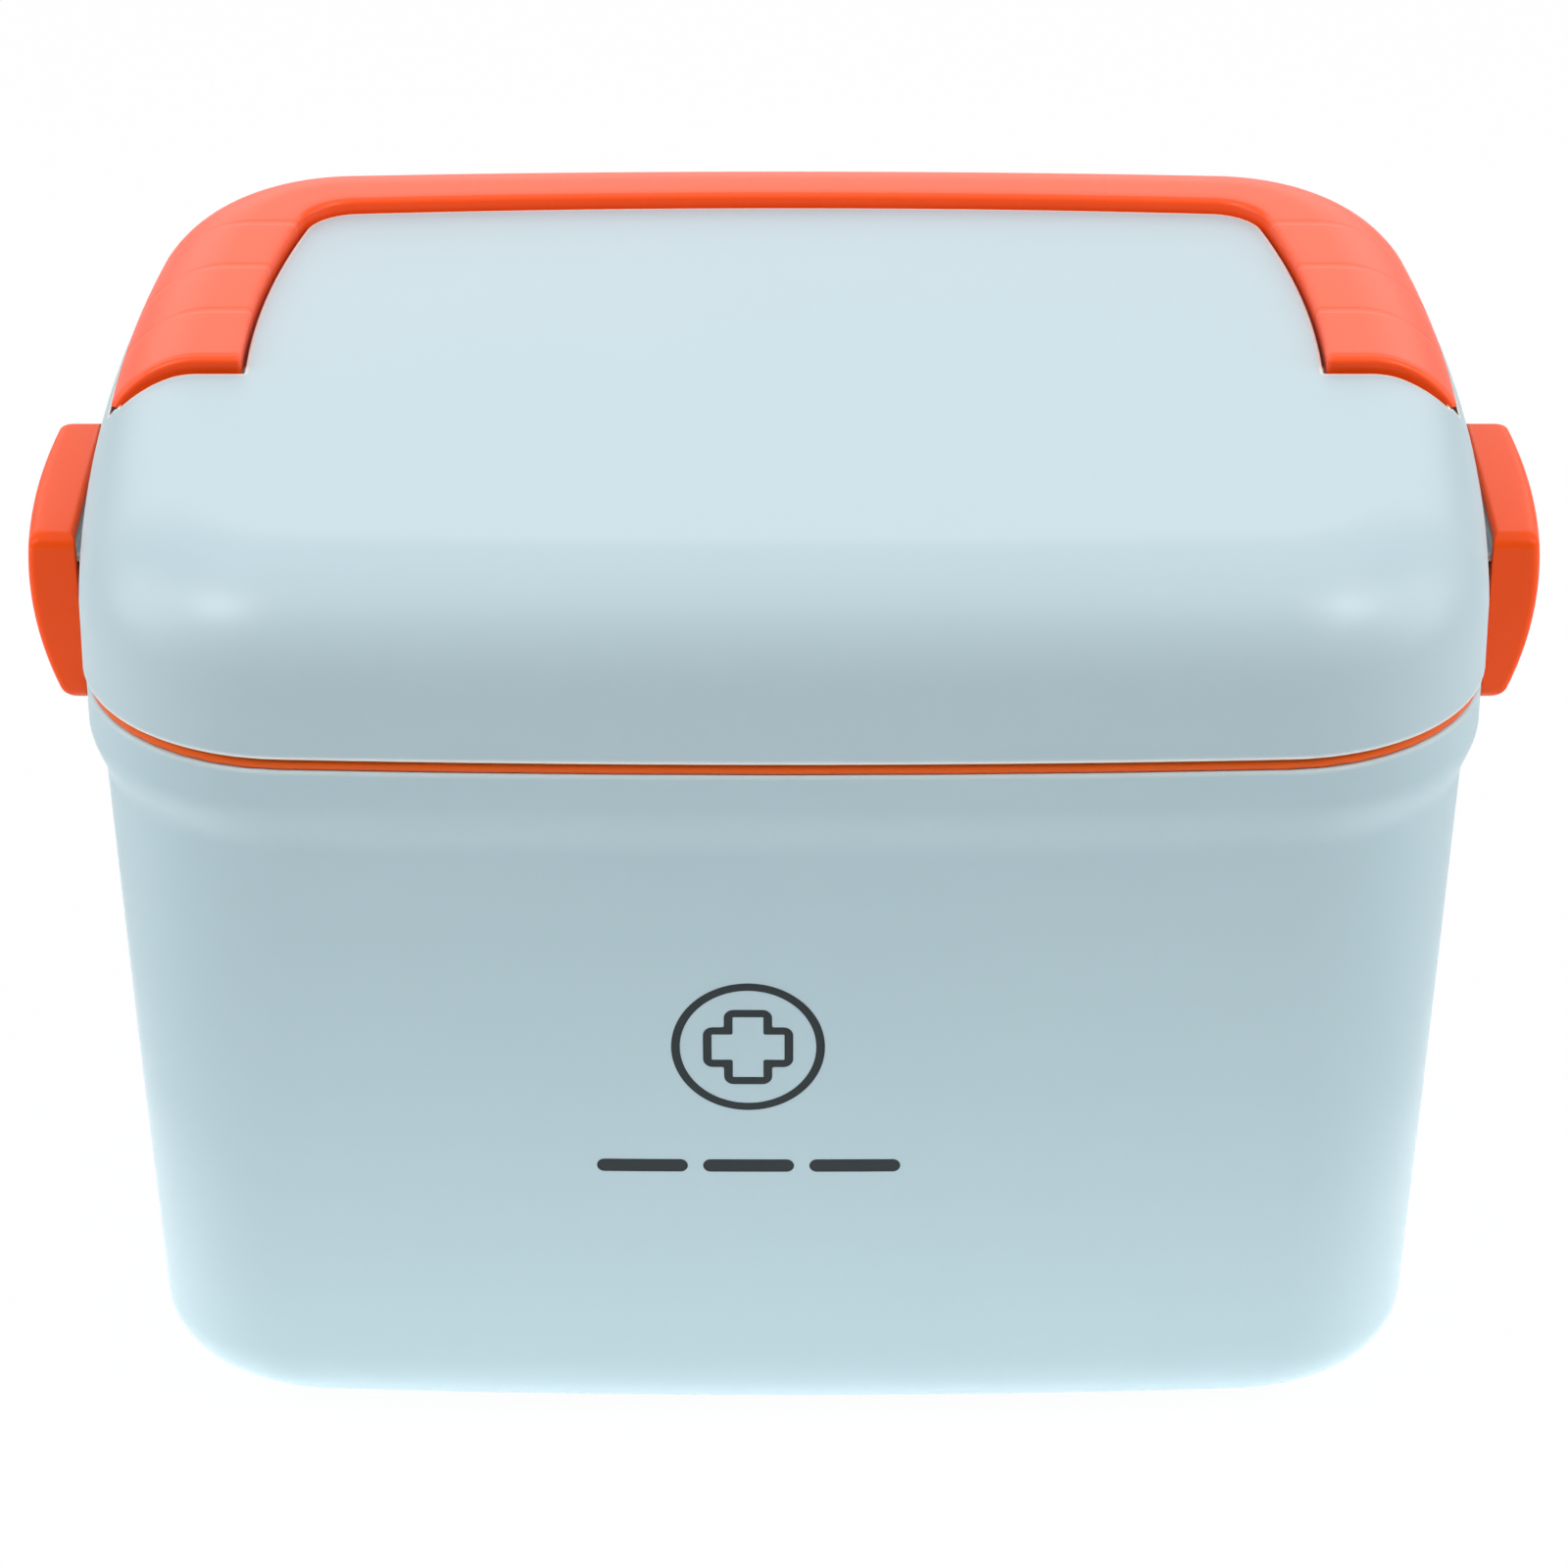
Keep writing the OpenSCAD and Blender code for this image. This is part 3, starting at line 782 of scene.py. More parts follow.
@dataclass(frozen=True)
class PrintedInk:
    """Pad-printed ink: a thin dark film, a little uneven in tone, with a dull gloss."""

    name: str
    colour: str
    pale_colour: str
    film_width: float = 0.4
    gloss: float = 0.2

    def material(self) -> Material:
        """Builds the material.

        Returns:
            The new material.
        """
        material = new_material(self.name)
        tree = material.node_tree
        place = add_node(tree, "ShaderNodeTexCoord").outputs["Object"]
        film = noise(tree, place, self.film_width, Detail=2.0)
        colour = mix_colours(tree, film, linear(self.colour), linear(self.pale_colour))
        shader = add_node(
            tree,
            "ShaderNodeBsdfPrincipled",
            {"Base Color": colour, "Roughness": 0.5, "Specular IOR Level": self.gloss},
        )
        add_node(tree, "ShaderNodeOutputMaterial", {"Surface": shader.outputs["BSDF"]})
        return material


@dataclass
class Finishes:
    """The materials of the case, each built once."""

    base: Material = field(init=False)
    lid: Material = field(init=False)
    orange: Material = field(init=False)
    tray: Material = field(init=False)
    handle: Material = field(init=False)
    steel: Material = field(init=False)
    ink: Material = field(init=False)

    def __post_init__(self) -> None:
        """Builds the materials."""
        # The box and the lid get a painted highlight line along their sharp edges, the lid's
        # stronger.
        self.base = MouldedPolypropylene(
            "pale_blue_polypropylene", "#ABC2C9", "#A9C0C8", 0.40, edge_r=0.9, painted_highlight_share=0.3
        ).material()
        # The lid's tone is a touch redder than the box's: a painted warm sheen for its lit top, on
        # the same plastic.
        self.lid = MouldedPolypropylene(
            "pale_blue_polypropylene_lid_painted_sheen", "#AEC2C9", "#ACC0C8", 0.40, edge_r=1.1, painted_highlight_share=0.9
        ).material()
        self.orange = MouldedPolypropylene(
            "orange_polypropylene", "#F4500A", "#F04C08", 0.38, gloss=0.16
        ).material()
        # The tray's orange is darker and duller than the latches': painted shade for its flange,
        # which sits in the shadow of the seam.
        self.tray = MouldedPolypropylene(
            "orange_polypropylene_tray_painted_shade", "#E0590C", "#DC5509", 0.38, gloss=0.16
        ).material()
        self.handle = RibbedPolypropylene(
            "orange_polypropylene_handle",
            "#FC4E06",
            "#F84A05",
            0.38,
            edge_r=0.1,
            gloss=0.36,
            fuzz=0.15,
        ).material()
        self.steel = DrawnSteel("drawn_steel", "#C9CBCE", 0.28).material()
        self.ink = PrintedInk("dark_grey_ink", "#1E2629", "#262E31").material()


def finish(
    piece: Piece, body: Body, material: Material, nodes: tuple[str, ...] = ()
) -> None:
    """Gives a piece its material and its body, and hides the CAD nodes that it stands for.

    Args:
        piece: the finished piece.
        body: the body that it rides on.
        material: its material.
        nodes: the nodes that it replaces.
    """
    piece.data.materials.clear()
    piece.data.materials.append(material)
    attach(piece, body.value)
    if nodes:
        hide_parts(*nodes)
    LOG.info("%s: %d faces, rides on %s", piece.name, len(piece.data.polygons), body.value)


# ---- Sub-assemblies


@dataclass
class BaseBox:
    """The tapered box: an upright band under the rim, a foot ring and two keeper ribs."""

    outline: Outline
    height: float = 159.2
    wall: float = 2.4
    floor: float = 2.6
    draft: float = 2.05
    bottom_r: float = 20.0
    low_corner_r: float = 28.3
    rim_inset: float = 0.5
    rim_r: float = 0.8
    rim_hold: float = 1.0
    band_h: float = 7.0
    band_blend: float = 12.5
    band_step: float = 2.6
    foot_h: float = 1.2
    foot_w: float = 5.0
    keeper_len: float = 22.0
    keeper_out: float = 3.3
    keeper_t: float = 3.0
    keeper_drop: float = 6.2
    wall_steps: int = 16
    band_steps: int = 14
    bottom_steps: int = 20
    rim_steps: int = 6
    floor_steps: int = 12

    @property
    def wall_top(self) -> float:
        """Height at which the wall starts to flow out into the band."""
        return self.height - self.band_h - self.band_blend

    def inset(self, z: float) -> float:
        """Gives the setback of the box's outside from the lid's lower edge.

        Args:
            z: the height.

        Returns:
            The setback, which grows in a smooth step under the band and then with the draft.
        """
        if z >= self.height - self.band_h:
            return self.rim_inset
        if z > self.wall_top:
            share = (self.height - self.band_h - z) / self.band_blend
            return self.rim_inset + self.band_step * blend(share)
        slope = math.tan(math.radians(self.draft))
        return self.rim_inset + self.band_step + (self.wall_top - z) * slope

    def corner(self, z: float) -> float:
        """Gives the wall's corner radius, which shrinks to its lower value half way down.

        Args:
            z: the height.

        Returns:
            The radius of the outside.
        """
        share = min(max((self.wall_top - z) / (self.wall_top / 2), 0.0), 1.0)
        top = self.outline.corner_r - self.rim_inset - self.band_step
        return top * (1 - share) + self.low_corner_r * share

    def wall_ring(self, z: float, inside: float = 0.0) -> Ring:
        """The wall's outline at a height, or one set in from it."""
        return self.outline.ring(self.inset(z) + inside, z, self.corner(z) - inside)

    def heights(self) -> list[float]:
        """Lists the heights of the wall's rings.

        Returns:
            The heights, from the top of the bottom edge up to the band.
        """
        rise, steps = self.wall_top - self.bottom_r, self.wall_steps
        low = [self.bottom_r + rise * i / steps for i in range(steps + 1)]
        steps = self.band_steps
        return low + [self.wall_top + self.band_blend * i / steps for i in range(1, steps + 1)]

    def sections(self) -> list[Ring]:
        """Draws the rings up the outside from the foot and down the inside to the floor.

        Returns:
            The rings in metres.
        """
        edge = self.inset(self.bottom_r) + self.bottom_r
        corner = self.low_corner_r
        foot = self.outline.ring(edge + self.foot_w, 0.0, corner - self.foot_w)
        under = self.foot_w + self.foot_h
        rings = [self.outline.ring(edge + under, self.foot_h, corner - under), foot]
        for t in arc(90, 0, self.bottom_steps)[:-1]:
            inset = self.inset(self.bottom_r) + self.bottom_r * (1 - math.cos(t))
            rings.append(self.outline.ring(inset, self.bottom_r * (1 - math.sin(t)), corner))
        rings += [self.wall_ring(z) for z in self.heights()]
        top, rim_corner = self.height, self.outline.corner_r - self.rim_inset
        hold = top - self.rim_r - self.rim_hold
        rings.append(self.outline.ring(self.rim_inset, hold, rim_corner))
        for t in arc(0, 90, self.rim_steps):
            inset = self.rim_r * (1 - math.cos(t))
            z = top - self.rim_r * (1 - math.sin(t))
            rings.append(self.outline.ring(self.rim_inset + inset, z, rim_corner - inset))
        rings.append(self.outline.ring(self.rim_inset + self.wall, top, rim_corner - self.wall))
        floor_r = self.bottom_r - self.wall
        low = self.foot_h + self.floor
        inner = [z for z in reversed(self.heights()) if z > low + floor_r]
        rings += [self.wall_ring(z, self.wall) for z in inner]
        for t in arc(0, 90, self.floor_steps):
            inset = self.inset(low + floor_r) + self.wall + floor_r * (1 - math.cos(t))
            z = low + floor_r * (1 - math.sin(t))
            rings.append(self.outline.ring(inset, z, corner - self.wall))
        return rings

    def build(self, finishes: Finishes) -> Piece:
        """Builds the box with its keeper ribs.

        Args:
            finishes: the materials.

        Returns:
            The box.
        """
        box = loft("base_shell", self.sections())
        inner = self.outline.width / 2 - self.rim_inset - self.wall / 2
        outer = self.outline.width / 2 - self.rim_inset + self.keeper_out
        low, half = self.height - self.keeper_drop, self.keeper_len / 2
        ribs = []
        for side in Side:
            xs = sorted((side.value * inner, side.value * outer))
            ribs.append(block("keeper", (xs[0], -half, low), (xs[1], half, low + self.keeper_t)))
        work(box, join(ribs), Operation.ADD)
        smooth(box)
        finish(box, Body.BASE, finishes.base, ("base_box",))
        return box


@dataclass
class Latch:
    """A bowed channel-shaped latch, drawn on the right side, with its hook and pin bore."""

    outline: Outline
    out: float = 13.08
    face_r: float = 75.0
    bow_r: float = 250.0
    crown: float = -1.9
    top: float = 8.4
    tip: float = 30.2
    width: float = 54.0
    tip_width: float = 50.0
    wall: float = 2.4
    cap: float = 1.5
    edge_gap: float = 2.0
    edge_r: float = 1.8
    end_r: float = 3.0
    tip_r: float = 2.4
    back_r: float = 1.5
    hinge_out: float = 4.5
    pin_d: float = 2.0
    pin_gap: float = 0.06
    lug_d: float = 4.0
    lug_drop: float = 1.6
    run_gap: float = 0.4
    blind: float = 0.8
    hook_t: float = 3.0
    hook_z: float = 149.7
    hook_tip: float = 140.5
    hook_len: float = 18.0
    least_r: float = 0.3
    steps: int = 56
    hollow_steps: int = 24
    bow_steps: int = 12
    edge_steps: int = 8
    sharp: float = 32.0

    @property
    def hinge_x(self) -> float:
        """X of the hinge pin."""
        return self.outline.width / 2 + self.hinge_out

    @property
    def hinge_h(self) -> float:
        """Height of the hinge pin above the lid's lower edge."""
        return self.top - self.cap - self.run_gap - self.lug_d / 2

    @property
    def lug_half(self) -> float:
        """Half the length of the lid's lug, which lies between the cheeks."""
        return self.half_width(self.hinge_h + self.lug_d / 2) - self.wall - self.run_gap

    def left_over(self, h: float, radius: float) -> float:
        """Gives what the rounding of the top and the tip leaves of a radius.

        Args:
            h: height above the lid's lower edge.
            radius: the radius of the rounding.

        Returns:
            The whole radius between the roundings, and less of it within them.
        """
        cut = max(radius - min(self.top - h, h + self.tip), 0.0)
        return math.sqrt(max(radius**2 - cut**2, 0.0))

    def half_width(self, h: float) -> float:
        """Gives half the width at a height above the lid's lower edge."""
        taper = (self.width - self.tip_width) / 2 / (self.top + self.tip)
        return self.width / 2 - (self.top - h) * taper - self.end_r + self.left_over(h, self.end_r)

    def face(self, h: float) -> float:
        """Gives the X of the middle of the bowed face at a height.

        Args:
            h: height above the lid's lower edge.

        Returns:
            The X in millimetres.
        """
        x = self.outline.width / 2 + self.out - self.face_r
        x += math.sqrt(self.face_r**2 - (h - self.crown) ** 2)
        return x - self.tip_r + self.left_over(h, self.tip_r)

    def bow(self, y: float) -> float:
        """How far the face falls back towards the cheeks."""
        return self.bow_r - math.sqrt(self.bow_r**2 - y * y)

    def edge(self, h: float) -> float:
        """Gives the X of the side edges, which are rounded off at the top.

        Args:
            h: height above the lid's lower edge.

        Returns:
            The X in millimetres.
        """
        cut = max(self.back_r - self.top + h, 0.0)
        left = math.sqrt(max(self.back_r**2 - cut**2, 0.0))
        return self.outline.width / 2 + self.edge_gap + self.back_r - left

    def ring(self, h: float, inside: float) -> Ring:
        """Draws the latch's section, or that of its hollow, which runs past the open side.

        Args:
            h: height above the lid's lower edge.
            inside: 0 for the latch, or the wall for its hollow.

        Returns:
            The points in metres.
        """
        r = max(self.edge_r - inside, self.least_r)
        half = self.half_width(h) - inside
        flat = half - r
        face = self.face(h) - inside
        side = face - self.bow(flat) - r
        edge = self.edge(h) - 2 * inside
        points = [(edge, half), (edge, 0.0), (edge, -half)]
        for t in arc(-90, 0, self.edge_steps):
            points.append((side + r * math.cos(t), -flat + r * math.sin(t)))
        for i in range(1, self.bow_steps):
            y = flat * (2 * i / self.bow_steps - 1)
            points.append((face - self.bow(y), y))
        for t in arc(0, 90, self.edge_steps):
            points.append((side + r * math.cos(t), flat + r * math.sin(t)))
        return [Vector((x, y, LID_Z + h)) * MM for x, y in points]

    def heights(self, low: float, high: float, steps: int) -> list[float]:
        """Heights between two ends, closer together at both."""
        return [low + (high - low) * (1 - math.cos(t)) / 2 for t in arc(0, 180, steps)]

    def lever(self) -> Piece:
        """Builds the latch on the right side.

        Returns:
            The latch, without its finish.
        """
        rings = [self.ring(h, 0.0) for h in self.heights(-self.tip, self.top, self.steps)]
        latch = loft("latch_left_lever", rings)
        low, high = -self.tip + self.wall, self.top - self.cap
        rings = [self.ring(h, self.wall) for h in self.heights(low, high, self.hollow_steps)]
        work(latch, loft("hollow", rings))
        back = self.face(self.hook_z - LID_Z) - self.wall / 2
        half, top = self.hook_len / 2, self.hook_z + self.hook_t
        hook = block("hook", (self.hook_tip, -half, self.hook_z), (back, half, top))
        work(latch, hook, Operation.ADD)
        start = self.blind - self.half_width(self.hinge_h)
        z, radius = LID_Z + self.hinge_h, self.pin_d / 2 + self.pin_gap
        work(latch, rod_y("bore", self.hinge_x, z, radius, start, self.width))
        smooth(latch, self.sharp)
        return latch

    def build(self, finishes: Finishes) -> None:
        """Builds one latch, copies it and turns the first over to the left side.

        Args:
            finishes: the materials.
        """
        left = self.lever()
        activate(left)
        bpy.ops.object.duplicate()
        right = rename(bpy.context.active_object, "latch_right_lever")
        turn_over(left)
        finish(left, Body.LATCH_LEFT, finishes.orange, ("latch_left",))
        finish(right, Body.LATCH_RIGHT, finishes.orange, ("latch_right",))


@dataclass
class Handle:
    """The bail: a U-shaped channel with solid arm ends that turn on pins."""

    outline: Outline
    top: float = 39.2
    foot: float = 28.2
    round_w: float = 22.9
    round_h: float = 27.5
    inner: float = 31.1
    inner_r: float = 1.2
    wall: float = 2.6
    front: float = 8.5
    front_r: float = 1.15
    solid: float = 11.0
    rib_t: float = 1.6
    rib_reach: float = 40.0
    bar_ribs: int = 8
    arm_ribs: int = 3
    pin_r: float = 2.06
    pin_reach: float = 123.9
    pin_start: float = 2.0
    curve_steps: int = 22
    edge_steps: int = 5

    def curve(self, wall: float) -> list[Point]:
        """Draws the outer curve from the foot to the top.

        Args:
            wall: how far it is set in.

        Returns:
            Pairs of inset and height.
        """
        start = math.degrees(math.asin((self.foot - self.top + self.round_h) / self.round_h))
        pairs = []
        for t in arc(start, 90, self.curve_steps):
            inset = wall + self.round_w * (1 - math.cos(t))
            pairs.append((inset, self.top - wall - (self.round_h - wall) * (1 - math.sin(t))))
        return pairs

    def outer_sections(self) -> list[Ring]:
        """Draws the rings up the outer curve, over the top and down the inner side.

        Returns:
            The rings in metres.
        """
        pairs = self.curve(0.0)
        flat = self.inner - self.inner_r
        pairs += [(self.round_w + (flat - self.round_w) * i / 3, self.top) for i in (1, 2)]
        for t in arc(90, 0, self.edge_steps):
            h = self.top - self.inner_r * (1 - math.sin(t))
            pairs.append((flat + self.inner_r * math.cos(t), h))
        pairs.append((self.inner, self.foot))
        return self.outline.above(pairs)

    def hollow(self) -> Piece:
        """Builds the room between the walls, divided by the ribs.

        Returns:
            The room as a solid.
        """
        pairs = self.curve(self.wall)
        low, side = self.foot - self.wall - OVERRUN, self.inner - self.wall
        pairs = [(pairs[0][0], low), *pairs, (side, self.top - self.wall), (side, low)]
        room = loft("handle_room", self.outline.above(pairs), closed=True)
        cut_off(room, self.solid)
        z = (LID_Z + self.foot + self.rib_t / 2, LID_Z + self.top)
        half, depth, width = self.rib_t / 2, self.outline.depth / 2, self.outline.width / 2
        ribs = []
        for i in range(self.bar_ribs):
            x = (i + 0.5 - self.bar_ribs / 2) * BAR_RIB_PITCH
            front = depth - self.rib_reach
            ribs.append(block("rib", (x - half, front, z[0]), (x + half, depth, z[1])))
        for i in range(self.arm_ribs):
            y = ARM_RIB_FIRST + i * ARM_RIB_PITCH
            for xs in ((-width, self.rib_reach - width), (width - self.rib_reach, width)):
                ribs.append(block("rib", (xs[0], y - half, z[0]), (xs[1], y + half, z[1])))
        work(room, join(ribs))
        return room

    def round_ends(self, handle: Piece) -> None:
        """Rounds the arm ends' front edges, except along the foot.

        Args:
            handle: the bail, cut off in front.
        """
        activate(handle)
        front, low = -self.front * MM, (LID_Z + self.foot) * MM
        bpy.ops.object.mode_set(mode="EDIT")
        select_verts(handle.data, lambda v: abs(v.co.y - front) < SAME * MM)
        bpy.ops.mesh.select_mode(type="EDGE")
        bm = bmesh.from_edit_mesh(handle.data)
        for edge in bm.edges:
            heights = [v.co.z for v in edge.verts]
            ends = all(abs(v.co.y - front) < SAME * MM for v in edge.verts)
            edge.select = ends and max(heights) > low + SAME * MM
        bm.select_flush(False)
        bmesh.update_edit_mesh(handle.data)
        bpy.ops.mesh.bevel(
            offset=self.front_r * MM, segments=self.edge_steps, affect="EDGES", clamp_overlap=True
        )
        bpy.ops.object.mode_set(mode="OBJECT")

    def build(self, finishes: Finishes) -> Piece:
        """Builds the handle.

        Args:
            finishes: the materials.

        Returns:
            The handle.
        """
        handle = loft("handle_bail", self.outer_sections(), closed=True)
        cut_off(handle, -self.front)
        self.round_ends(handle)
        work(handle, self.hollow())
        centre = Vector((0, 0, LID_Z + PIVOT_H))
        low = self.outline.width / 2 - self.inner - self.pin_start
        profile = [(low, self.pin_r), (self.pin_reach, self.pin_r)]
        work(handle, join([lathe_x("bore", profile, centre, side) for side in Side]))
        smooth(handle)
        finish(handle, Body.HANDLE, finishes.handle, ("handle",))
        return handle


@dataclass
class Lid:
    """The domed lid, with the handle's step, the pockets for the arms' ends, lugs and bosses."""

    outline: Outline
    top: float = 36.4
    wall_h: float = 13.0
    wall: float = 2.4
    shoulder_r: float = 23.7
    draft: float = 0.7
    edge_r: float = 0.6
    panel_soft: float = 2.4
    step_w: float = 32.0
    step_floor: float = 28.0
    step_edge_r: float = 0.2
    step_front: float = 9.73
    step_rise: float = 8.0
    step_out: float = 12.0
    arm_r: float = 11.39
    heel_r: float = 9.35
    arm_out: float = 135.42
    run_gap: float = 0.4
    lug_foot: float = 0.3
    lug_start: float = -60.0
    lug_end: float = 220.0
    boss_len: float = 7.0
    boss_w: float = 6.0
    pin_d: float = 2.04
    handle_pin_d: float = 4.04
    bore_reach: float = 5.0
    wall_levels: tuple[float, ...] = (3.0, 6.0, 9.0, 11.5)
    room_levels: tuple[float, ...] = (-1.0, 4.0, 9.0)
    edge_steps: int = 4
    shoulder_steps: int = 26
    soft_steps: int = 6
    room_steps: int = 14
    step_steps: int = 5
    pocket_steps: int = 120
    lug_steps: int = 28
    bore_steps: int = 48

    @property
    def wall_inset(self) -> float:
        """Gives the setback of the wall's top."""
        return self.wall_h * math.tan(math.radians(self.draft))

    def inset(self, h: float) -> float:
        """Gives the setback of the lid's outside.

        Args:
            h: height above the lid's lower edge.

        Returns:
            The setback, by the draft of the wall and then round the shoulder.
        """
        if h < self.wall_h:
            return h * math.tan(math.radians(self.draft))
        rise = min((h - self.wall_h) / self.shoulder_r, 1.0)
        return self.wall_inset + self.shoulder_r * (1 - math.sqrt(1 - rise**2))

    def outside(self) -> Piece:
        """Builds the lid's outer form, with the soft edge round its panel.

        Returns:
            The form as a solid.
        """
        pairs = []
        for t in arc(0, 90, self.edge_steps):
            pairs.append((self.edge_r * (1 - math.sin(t)), self.edge_r * (1 - math.cos(t))))
        pairs += [(self.inset(h), h) for h in self.wall_levels]
        steep = math.degrees(math.asin((self.top - self.wall_h) / self.shoulder_r))
        stop = steep - math.degrees(self.panel_soft / self.shoulder_r)
        for t in arc(0, stop, self.shoulder_steps):
            inset = self.wall_inset + self.shoulder_r * (1 - math.cos(t))
            pairs.append((inset, self.wall_h + self.shoulder_r * math.sin(t)))
        start_inset, start_h = pairs[-1]
        edge_inset = self.inset(self.top)
        end_inset = edge_inset + self.panel_soft
        for i in range(1, self.soft_steps + 1):
            s = i / self.soft_steps
            inset = (1 - s) ** 2 * start_inset + 2 * s * (1 - s) * edge_inset + s * s * end_inset
            pairs.append((inset, (1 - s) ** 2 * start_h + (1 - (1 - s) ** 2) * self.top))
        return loft("lid_shell", self.outline.above(pairs))

    def inside(self) -> Piece:
        """Builds the lid's hollow, before what stands into it is taken off.

        Returns:
            The hollow as a solid.
        """
        r = self.shoulder_r - self.wall
        ceiling = self.top - self.wall
        stop = math.degrees(math.asin(min((ceiling - self.wall_h) / r, 1.0)))
        pairs = [(self.wall, h) for h in self.room_levels]
        for t in arc(0, stop, self.room_steps):
            inset = self.wall_inset + self.wall + r * (1 - math.cos(t))
            pairs.append((inset, self.wall_h + r * math.sin(t)))
        return loft("lid_room", self.outline.above(pairs))

    def step(self, grow: float = 0.0) -> Piece:
        """Builds the space of the step round the back half, whose side rounds over at the panel.

        Args:
            grow: how far the space is widened, by a wall.

        Returns:
            The space as a solid.
        """
        low, high = self.step_floor - grow, self.top + self.step_rise
        inner = self.step_w + grow
        r = self.step_edge_r
        pairs = [(-self.step_out, low), (-self.step_out, high), (inner + r, high)]
        for t in arc(90, 0, self.step_steps):
            pairs.append((inner + r * (1 - math.cos(t)), self.top - r * (1 - math.sin(t))))
        pairs.append((inner, low))
        space = loft("step_space", self.outline.above(pairs), closed=True)
        cut_off(space, -self.step_front - grow)
        return space

    def arm_rooms(self, grow: float = 0.0) -> Piece:
        """Builds the round pockets that the arms' ends turn in.

        Args:
            grow: how far the pockets are widened, by a wall.

        Returns:
            Both pockets as one object.
        """
        start = self.outline.width / 2 - self.step_w - grow
        middle = self.arm_out - self.wall + grow
        profile = [
            (start, self.arm_r + grow),
            (middle, self.arm_r + grow),
            (middle + SAME, self.heel_r + grow),
            (self.arm_out + self.run_gap, self.heel_r + grow),
        ]
        centre = Vector((0, 0, LID_Z + PIVOT_H))
        steps = self.pocket_steps
        return join([lathe_x("arm_room", profile, centre, side, steps) for side in Side])

    def lugs(self, latch: Latch) -> Piece:
        """Builds the lugs that hold the latches' pins, clear of the open latches.

        Args:
            latch: the latch that turns on them.

        Returns:
            Both lugs as one object.
        """
        x, z, r = latch.hinge_x, LID_Z + latch.hinge_h, latch.lug_d / 2
        foot = self.outline.width / 2 - self.wall / 2
        profile = [(foot, z - latch.lug_drop), (foot, LID_Z + self.lug_foot)]
        for t in arc(self.lug_start, self.lug_end, self.lug_steps):
            profile.append((x + r * math.cos(t), z + r * math.sin(t)))
        lugs = []
        for side in Side:
            rings = []
            for y in (-latch.lug_half, latch.lug_half):
                rings.append([Vector((side.value * px, y, pz)) * MM for px, pz in profile])
            lugs.append(loft("lug", rings))
        return join(lugs)

    def bosses(self) -> Piece:
        """Builds the bosses behind the step's side that hold the handle's pins.

        Returns:
            Both bosses as one object.
        """
        outer = self.outline.width / 2 - self.step_w - self.wall + OVERRUN
        inner = outer - OVERRUN - self.boss_len
        z, half = LID_Z + PIVOT_H, self.boss_w
        blocks = []
        for side in Side:
            xs = sorted((side.value * inner, side.value * outer))
            blocks.append(block("boss", (xs[0], -half, z - half), (xs[1], half, z + half)))
        return join(blocks)

    def build(self, latch: Latch, finishes: Finishes) -> Piece:
        """Builds the lid: outer form less its pockets, plus lugs, less its hollow and bores.

        Args:
            latch: the latch that turns on its lugs.
            finishes: the materials.

        Returns:
            The lid.
        """
        lid = self.outside()
        for tool in (self.step(), self.arm_rooms()):
            work(lid, tool)
        work(lid, self.lugs(latch), Operation.ADD)
        room = self.inside()
        for tool in (self.step(self.wall), self.arm_rooms(self.wall), self.bosses()):
            work(room, tool)
        work(lid, room)
        centre = Vector((0, 0, LID_Z + PIVOT_H))
        outer, radius = self.outline.width / 2 - self.step_w, self.handle_pin_d / 2
        profile = [(outer - self.boss_len - self.bore_reach, radius), (outer + OVERRUN, radius)]
        work(lid, join([lathe_x("bore", profile, centre, side, self.bore_steps) for side in Side]))
        x, z, radius = latch.hinge_x, LID_Z + latch.hinge_h, self.pin_d / 2
        reach = latch.lug_half + OVERRUN
        bores = [rod_y("bore", side.value * x, z, radius, -reach, reach) for side in Side]
        work(lid, join(bores))
        smooth(lid)
        finish(lid, Body.LID, finishes.lid, ("lid",))
        return lid


@dataclass
class InnerTray:
    """The lift-out tray, whose flange shows between box and lid."""

    def build(self, frame: dict, finishes: Finishes) -> Piece:
        """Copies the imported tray, merges its loose triangles and smooths its round corners.

        Args:
            finishes: the materials.

        Returns:
            The tray.
        """
        source = frame["nodes"]["inner_tray"]
        activate(source)
        bpy.ops.object.duplicate()
        tray = rename(bpy.context.active_object, "tray_moulding")
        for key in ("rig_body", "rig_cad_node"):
            del tray[key]
        tray.parent = None
        smooth(tray)
        finish(tray, Body.TRAY, finishes.tray, ("inner_tray",))
        return tray


